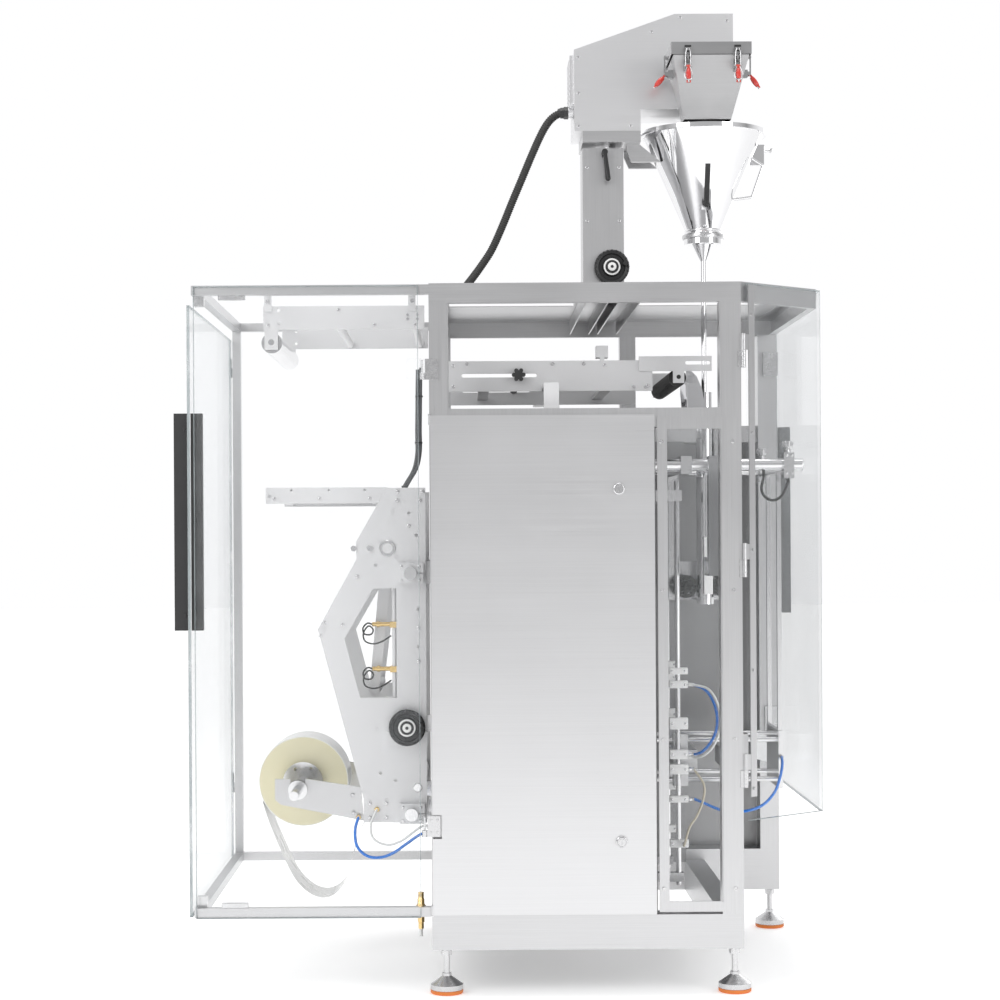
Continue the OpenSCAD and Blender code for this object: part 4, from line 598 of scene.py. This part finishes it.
def hopper_fittings():
    """Rolled rim, sight slot, clamp rings and wing nut of the cone hopper; the slot is a black strip of painted shade
    for the hopper's dark inside.
    """
    axis = at(772, 500, 0)
    bm = bmesh.new()
    add_lathe(bm, [(2.3262 + 0.0035 * math.sin(a), 0.1745 + 0.0035 * math.cos(a))
                   for a in (TURN * k / 16 for k in range(17))], axis, UP, 96)
    add_lathe(bm, [(2.0530, 0.0506), (2.0545, 0.0525), (2.0575, 0.0532), (2.0600, 0.0520), (2.0610, 0.0508)],
              axis, UP, 72)
    piece("hopper_rims", bm, MIRROR, "head", 60)
    bm = bmesh.new()
    add_lathe(bm, [(2.0330, 0.0556), (2.0350, 0.0590), (2.0400, 0.0600), (2.0450, 0.0590), (2.0470, 0.0556)],
              axis, UP, 64)
    add_slab(bm, at(764, 436, 2032), at(780, 446, 2048), 0.002)
    add_lathe(bm, [(0, 0.0035), (0.026, 0.0035)], at(772, 441, 2040), (0, -1, 0), 16)
    piece("neck_clamp_ring", bm, ZINC, "head")
    bm = bmesh.new()
    add_lathe(bm, [(0, 0.007), (0.006, 0.007), (0.008, 0.0045), (0.010, 0.004)], at(772, 424, 2040), (0, -1, 0), 24)
    add_slab(bm, at(758, 417, 2037), at(786, 420, 2043), 0.001)
    piece("neck_wing_nut", bm, ZINC, "head")
    slope = math.atan2(0.118, 0.267)

    def on_cone(height, out):
        """A place on the near line of the cone at a height, a little outside the wall."""
        radius = 0.050 + 0.118 * (height - 2.056) / 0.267
        return axis + Vector((0, -radius - out * math.cos(slope), height - out * math.sin(slope)))

    # the sight slot is a black strip: painted shade for the inside of the hopper seen through it
    for name, low, high, half, out, mat in [("sight_frame", 2.108, 2.236, 0.0125, 0.0012, MIRROR),
                                            ("sight_slot_painted_shade", 2.116, 2.228, 0.0072, 0.0030, BLACK)]:
        bm = bmesh.new()
        rows = []
        for k in range(13):
            h = low + (high - low) * k / 12
            rows.append([[bm.verts.new(on_cone(h, o) + Vector((x * half, 0, 0)))
                          for x in (-1, -0.5, 0, 0.5, 1)] for o in (-0.001, out)])
        for a, b in zip(rows, rows[1:]):
            for j in range(4):
                bm.faces.new((a[1][j], a[1][j + 1], b[1][j + 1], b[1][j]))
            for j in (0, 4):
                bm.faces.new((a[0][j], a[1][j], b[1][j], b[0][j]))
        for row in (rows[0], rows[-1]):
            for j in range(4):
                bm.faces.new((row[0][j], row[0][j + 1], row[1][j + 1], row[1][j]))
        piece(name, bm, mat, "head")
    bm = bmesh.new()
    add_lathe(bm, [(0, 0.006), (0.004, 0.006), (0.010, 0.0045), (0.024, 0.004)], at(944, 500, 2284), (1, 0, 0.1), 24)
    add_slab(bm, at(962, 484, 2281), at(968, 516, 2289), 0.0018)
    add_slab(bm, at(930, 489, 2276), at(946, 511, 2300), 0.002)
    piece("rim_wing_clamp", bm, ZINC, "head")


def latch_fittings():
    """Plates, springs, wire bails and red grips of the chute's toggle latches."""
    wires, dark = bmesh.new(), bmesh.new()
    for x in (703, 838):
        for side in (-7, 7):
            add_tube(wires, smooth_route([at(x + side, 221, 2466), at(x + side, 222, 2480),
                                          at(x + side * 0.9, 222, 2500), at(x + side * 0.5, 221, 2513)], 0.003),
                     0.0012, 10)
            add_tube(wires, smooth_route([at(x + side * 0.6, 217, 2462), at(x + side * 1.5, 214, 2444),
                                          at(x + side * 1.2, 212, 2430), at(x, 211, 2424)], 0.003), 0.0013, 10)
            add_lathe(dark, [(-0.0035, 0.0034), (0.0035, 0.0034)], at(x + side * 0.75, 226, 2488), (0, 0, 1), 12)
        add_lathe(wires, [(-0.0105, 0.0022), (0.0105, 0.0022)], at(x, 226, 2466), (1, 0, 0), 16)
        add_slab(dark, at(x - 9, 229.4, 2506), at(x + 9, 231.6, 2524), 0.0006)
    piece("latch_bails", wires, ZINC, "head")
    piece("latch_springs", dark, BLACK, "head")
    for name, body, levers in [("near_grips", "near_latches", [((703, 222, 2456), (703, 214.5, 2428)),
                                                              ((838, 222, 2456), (838, 214.5, 2428))]),
                               ("left_grip", "left_latch", [((645, 330, 2457), (624, 330, 2435))]),
                               ("right_grip", "right_latch", [((888, 330, 2457), (906, 330, 2432))])]:
        bm, ends = bmesh.new(), bmesh.new()
        for top, low in levers:
            route = smooth_route([at(*top), at(*((p + q) / 2 for p, q in zip(top, low))), at(*low)], 0.002)
            long = (route[-1] - route[0]).length
            add_tube(bm, route, lambda s: 0.0052 + 0.0022 * math.sin(math.pi * min(max(s / long, 0), 1)), 16)
            add_lathe(ends, [(-0.002, 0.0030), (0.006, 0.0034), (0.0085, 0.0022), (0.009, 0)], at(*low),
                      tuple(at(*low) - at(*top)), 14)
        piece(name, bm, RED, body, 60)
        piece(name + "_tips", ends, ZINC, body)


def panel_details():
    """Screws in the window frame, the unwinder's plates, the carriage, the upper frame, the splice table, the roll
    arms, the housing and the column.
    """
    window = [(601, 1439), (788, 1438), (603, 1052), (789, 1053), (603, 664), (790, 665), (603, 278), (790, 277)]
    screws("window_screws", [at(x, -4, z) for x, z in window], (0, -1, 0), 0.0095, ZINC, "frame", 0.0028)
    plate = [(-90, 1318), (-23, 1318), (-91, 1294), (-30, 1294), (-60, 1226), (-290, 965), (-300, 930),
             (-170, 478), (-125, 478), (-170, 440), (-125, 440), (-36, 950), (-36, 860), (-240, 960), (-200, 1090)]
    screws("side_plate_screws", [at(x, 200, z) for x, z in plate], (0, -1, 0), 0.010, ZINC, "unwinder", 0.005)
    screws("far_plate_screws", [at(x, 800, z) for x, z in plate], (0, 1, 0), 0.010, ZINC, "unwinder", 0.005)
    screws("carriage_screws", [at(x, 200, z) for x, z in [(62, 1655), (62, 1600), (586, 1655), (586, 1600),
                                                         (320, 1600), (470, 1655)]], (0, -1, 0), 0.009, ZINC,
           "frame", 0.004)
    screws("upper_frame_screws", [at(x, 200, z) for x, z in [(-436, 1808), (-436, 1768), (-40, 1808), (-40, 1768),
                                                            (-246, 1808), (-150, 1768)]], (0, -1, 0), 0.009,
           ZINC, "frame", 0.004)
    screws("splice_screws", [at(x, 200, z) for x, z in [(-422, 1300), (-165, 1300), (-300, 1300)]], (0, -1, 0),
           0.009, ZINC, "unwinder", 0.004)
    screws("roll_arm_screws", [at(x, 212, z) for x, z in [(-216, 500), (-214, 452)]], (0, -1, 0), 0.010, ZINC,
           "unwinder", 0.0115)
    screws("housing_screws", [at(x, 400, z) for x, z in [(415, 2338), (415, 2430), (415, 2530), (560, 2338),
                                                         (620, 2600), (830, 2630), (700, 2640)]], (0, -1, 0),
           0.009, ZINC, "head", 0.003)
    screws("column_screws", [at(x, 442.5, z) for x, z in [(440, 2230), (530, 2230), (440, 2080), (530, 2080)]],
           (0, -1, 0), 0.010, ZINC, "frame", 0.004)


def unwinder_fittings():
    """Nuts of the guide bar clamps, bearing covers and a brake knob."""
    bm = bmesh.new()
    for z in (452, 1098):
        for y, way in ((176, -1), (824, 1)):
            add_lathe(bm, [(0, 0.0169), (0.0016, 0.0165), (0.0022, 0.0150), (0.0022, 0)], at(-56, y, z),
                      (0, way, 0), 40)
    add_lathe(bm, [(0, 0.022), (0.003, 0.022), (0.004, 0.021), (0.004, 0.0145)], at(-118, 200, 1165), (0, -1, 0), 40)
    add_lathe(bm, [(0, 0.0115), (0.003, 0.0113), (0.004, 0.010), (0.004, 0)], at(-40, 200, 520), (0, -1, 0), 32)
    for x in (-166, -209):
        add_lathe(bm, [(0, 0.0085), (0.007, 0.0085), (0.008, 0.0075), (0.008, 0)], at(x, 200, 1165), (0, -1, 0), 6)
    piece("bearing_covers", bm, ROD_STEEL, "unwinder")
    screws("clamp_block_screws", [at(-56 + dx, 176, z + dz) for z in (452, 1098) for dx in (24, -24)
                                  for dz in (18, -18)], (0, -1, 0), 0.008, ZINC, "unwinder", 0.004)


def front_clamps():
    """Clamp screws, end caps and knurled knobs at the front end of the guide shafts."""
    bm = bmesh.new()
    for y in (250, 750):
        add_lathe(bm, [(0, 0.0168), (0.002, 0.0162), (0.003, 0.0145), (0.003, 0.0075), (0.001, 0.007), (0.001, 0)],
                  at(1008, y, 1386), (1, 0, 0), 40)
        add_lathe(bm, [(0, 0.0095), (0.010, 0.0095), (0.012, 0.008), (0.020, 0.008)], at(969, y, 1418), (0, 0, 1), 28)
        add_lathe(bm, [(0.014, 0.0130), (0.016, 0.0142), (0.030, 0.0142), (0.032, 0.0130), (0.032, 0)],
                  at(969, y, 1418), (0, 0, 1), 28)
        for k in range(22):
            a = TURN * k / 22
            add_lathe(bm, [(0.0165, 0.0014), (0.0295, 0.0014)],
                      at(969, y, 1418) + Vector((math.cos(a), math.sin(a), 0)) * 0.0141, (0, 0, 1), 6)
    piece("shaft_knobs", bm, ZINC, "frame")
    screws("front_clamp_screws", [at(x, y - 30, z) for y in (250, 750) for x in (962, 976) for z in (1362, 1410)],
           (0, -1, 0), 0.008, ZINC, "frame", 0.004)


def air_valve():
    """Brass ball valve and the drain tube below the base beam's left end."""
    bm = bmesh.new()
    top = at(-30, 60, 262)
    add_lathe(bm, [(0, 0.008), (0.016, 0.008), (0.018, 0.0095), (0.030, 0.0095), (0.034, 0.012), (0.058, 0.012),
                   (0.062, 0.0095), (0.078, 0.0095), (0.080, 0.0075), (0.096, 0.0075)], top, (0, 0, -1), 6)
    add_lathe(bm, [(0.034, 0.0128), (0.040, 0.0140), (0.052, 0.0140), (0.058, 0.0128)], top, (0, 0, -1), 28)
    add_lathe(bm, [(0, 0.0065), (0.030, 0.0065)], at(-30, 60, 216), (1, 0, 0), 20)
    piece("inlet_valve", bm, BRASS, "frame")
    tube("inlet_drop_tube", route_mm([(-30, 60, 168), (-30.5, 60, 158), (-30, 61, 146)]), 0.010, WHITE_TUBE, "frame")


def pane_edges():
    """Polished edges of the clear doors, as narrow strips round each sheet."""
    side = bmesh.new()
    for low, high in [((-612, -8.6, 206), (-610.5, -0.1, 1849)), ((-29.5, -8.6, 206), (-28, -0.1, 1849)),
                      ((-612, -8.6, 206), (-28, -0.1, 207.5)), ((-612, -8.6, 1847.5), (-28, -0.1, 1849))]:
        add_slab(side, at(*low), at(*high), 0.0003)
    piece("side_pane_edges", side, PANE_EDGE, "rear_side_door")
    end = bmesh.new()
    for low, high in [((-629, -8, 211), (-621, -6.5, 1800)), ((-629, 972.5, 211), (-621, 974, 1800)),
                      ((-629, -8, 211), (-621, 974, 212.5)), ((-629, -8, 1798.5), (-621, 974, 1800))]:
        add_slab(end, at(*low), at(*high), 0.0003)
    piece("end_pane_edges", end, PANE_EDGE, "rear_end_door")
    front = bmesh.new()
    corner = [(829.1, 1.3), (1049, 184.5), (1049, 976)]
    for z in (452, 1849.5):
        for (ax, ay), (bx, by) in zip(corner, corner[1:]):
            way = Vector((bx - ax, by - ay, 0)).normalized()
            across = Vector((-way.y, way.x, 0)) * 7.8
            ring = [Vector((ax, ay, z)), Vector((bx, by, z)), Vector((bx, by, z)) + across,
                    Vector((ax, ay, z)) + across]
            low = [front.verts.new(at(*p)) for p in ring]
            high = [front.verts.new(at(p.x, p.y, p.z + 1.5)) for p in ring]
            front.faces.new(low)
            front.faces.new(high)
            for k in range(4):
                front.faces.new((low[k], low[(k + 1) % 4], high[(k + 1) % 4], high[k]))
    add_slab(front, at(1041.2, 974.5, 453), at(1048.8, 976, 1850), 0.0003)
    add_slab(front, at(1048.2, 183.5, 453), at(1049, 185.5, 1850), 0.0003)
    piece("front_pane_edges", front, PANE_EDGE, "front_door")


def floor_feet():
    """Hexagon adjusters, lock nuts and ball sockets over the levelling feet's pads."""
    bm = bmesh.new()
    for x, y in [(37, 45), (792, 45), (37, 958), (1014, 958)]:
        add_lathe(bm, [(0.0262, 0.0205), (0.029, 0.0200), (0.035, 0.0150), (0.040, 0.0125)], at(x, y, 0), UP, 40)
        add_lathe(bm, [(0.100, 0.0150), (0.112, 0.0150)], at(x, y, 0), UP, 6)
    piece("foot_nuts", bm, ZINC, "frame")


# ---------- studio ----------

def studio():
    floor_mat, tree, shader = new_material("studio_floor")
    shader.inputs["Base Color"].default_value = (0.97, 0.97, 0.97, 1)
    shader.inputs["Roughness"].default_value = 0.75
    shader.inputs["Specular IOR Level"].default_value = 0.1
    shader.inputs["Emission Color"].default_value = (1, 1, 1, 1)
    shader.inputs["Emission Strength"].default_value = 0.30
    bm = bmesh.new()
    bmesh.ops.create_grid(bm, x_segments=1, y_segments=1, size=30)
    mesh = bpy.data.meshes.new("floor")
    bm.to_mesh(mesh)
    bm.free()
    floor = bpy.data.objects.new("floor", mesh)
    mesh.materials.append(floor_mat)
    bpy.context.scene.collection.objects.link(floor)
    floor.location.z = cad_box[0][2] - 0.0005
    world = bpy.data.worlds.new("studio")
    bpy.context.scene.world = world
    world.use_nodes = True
    tree = world.node_tree
    back = tree.nodes["Background"]
    place = add(tree, "ShaderNodeTexCoord").outputs["Generated"]
    parts = add(tree, "ShaderNodeSeparateXYZ")
    tree.links.new(place, parts.inputs[0])
    around = add(tree, "ShaderNodeValToRGB")
    # grey from the sides and front for contrast in the steel, white behind the object
    for position, value in zip((0.0, 0.22, 0.42, 0.60, 0.74), (0.50, 0.66, 0.34, 0.80, 1.0)):
        stop = around.color_ramp.elements.new(position) if 0 < position < 0.74 else \
            around.color_ramp.elements[0 if position == 0 else -1]
        stop.position, stop.color = position, (value, value, value * 1.01, 1)
    tree.links.new(maths(tree, "ADD", maths(tree, "MULTIPLY", parts.outputs["Y"], 0.5), 0.5),
                   around.inputs["Fac"])
    overhead = maths(tree, "MULTIPLY", maths(tree, "SUBTRACT", parts.outputs["Z"], 0.25, True), 0.6)
    shine = add(tree, "ShaderNodeMix", data_type="RGBA")
    tree.links.new(overhead, shine.inputs["Factor"])
    tree.links.new(around.outputs["Color"], shine.inputs["A"])
    shine.inputs["B"].default_value = (1, 1, 1, 1)
    tree.links.new(shine.outputs["Result"], back.inputs["Color"])
    back.inputs["Strength"].default_value = 1.0
    for name, spot, aim, size, power in [
            ("key", (-3.2, -4.2, 3.6), (0, 0, 1.2), (2.4, 3.2), 85),
            ("fill", (3.6, -3.8, 2.2), (0, 0, 1.2), (1.6, 3.4), 50),
            ("top", (0.2, -0.4, 5.2), (0, 0, 1), (3.0, 2.4), 70),
            ("rim", (2.6, 3.6, 3.0), (0, 0, 1.4), (1.6, 3.0), 25)]:
        light = bpy.data.lights.new(name, "AREA")
        light.shape, light.size, light.size_y, light.energy = "RECTANGLE", *size, power
        obj = bpy.data.objects.new(name, light)
        bpy.context.scene.collection.objects.link(obj)
        obj.location = spot
        obj.rotation_euler = (Vector(aim) - Vector(spot)).to_track_quat("-Z", "Y").to_euler()


studio()
bpy.context.scene.view_settings.view_transform = "Standard"

conduit()
air_lines()
sensor_leads()
film()
handwheel_trim("unwinder_wheel", -67, 160, 684, "unwinder_handwheel")
handwheel_trim("column_wheel", 507, 416.5, 1948, "column_handwheel")
lock_face("upper_lock", 491, 1317, "upper_lock")
lock_face("lower_lock", 493, 402, "lower_lock")
white_clamps()
hopper_fittings()
latch_fittings()
panel_details()
unwinder_fittings()
front_clamps()
air_valve()
pane_edges()
floor_feet()
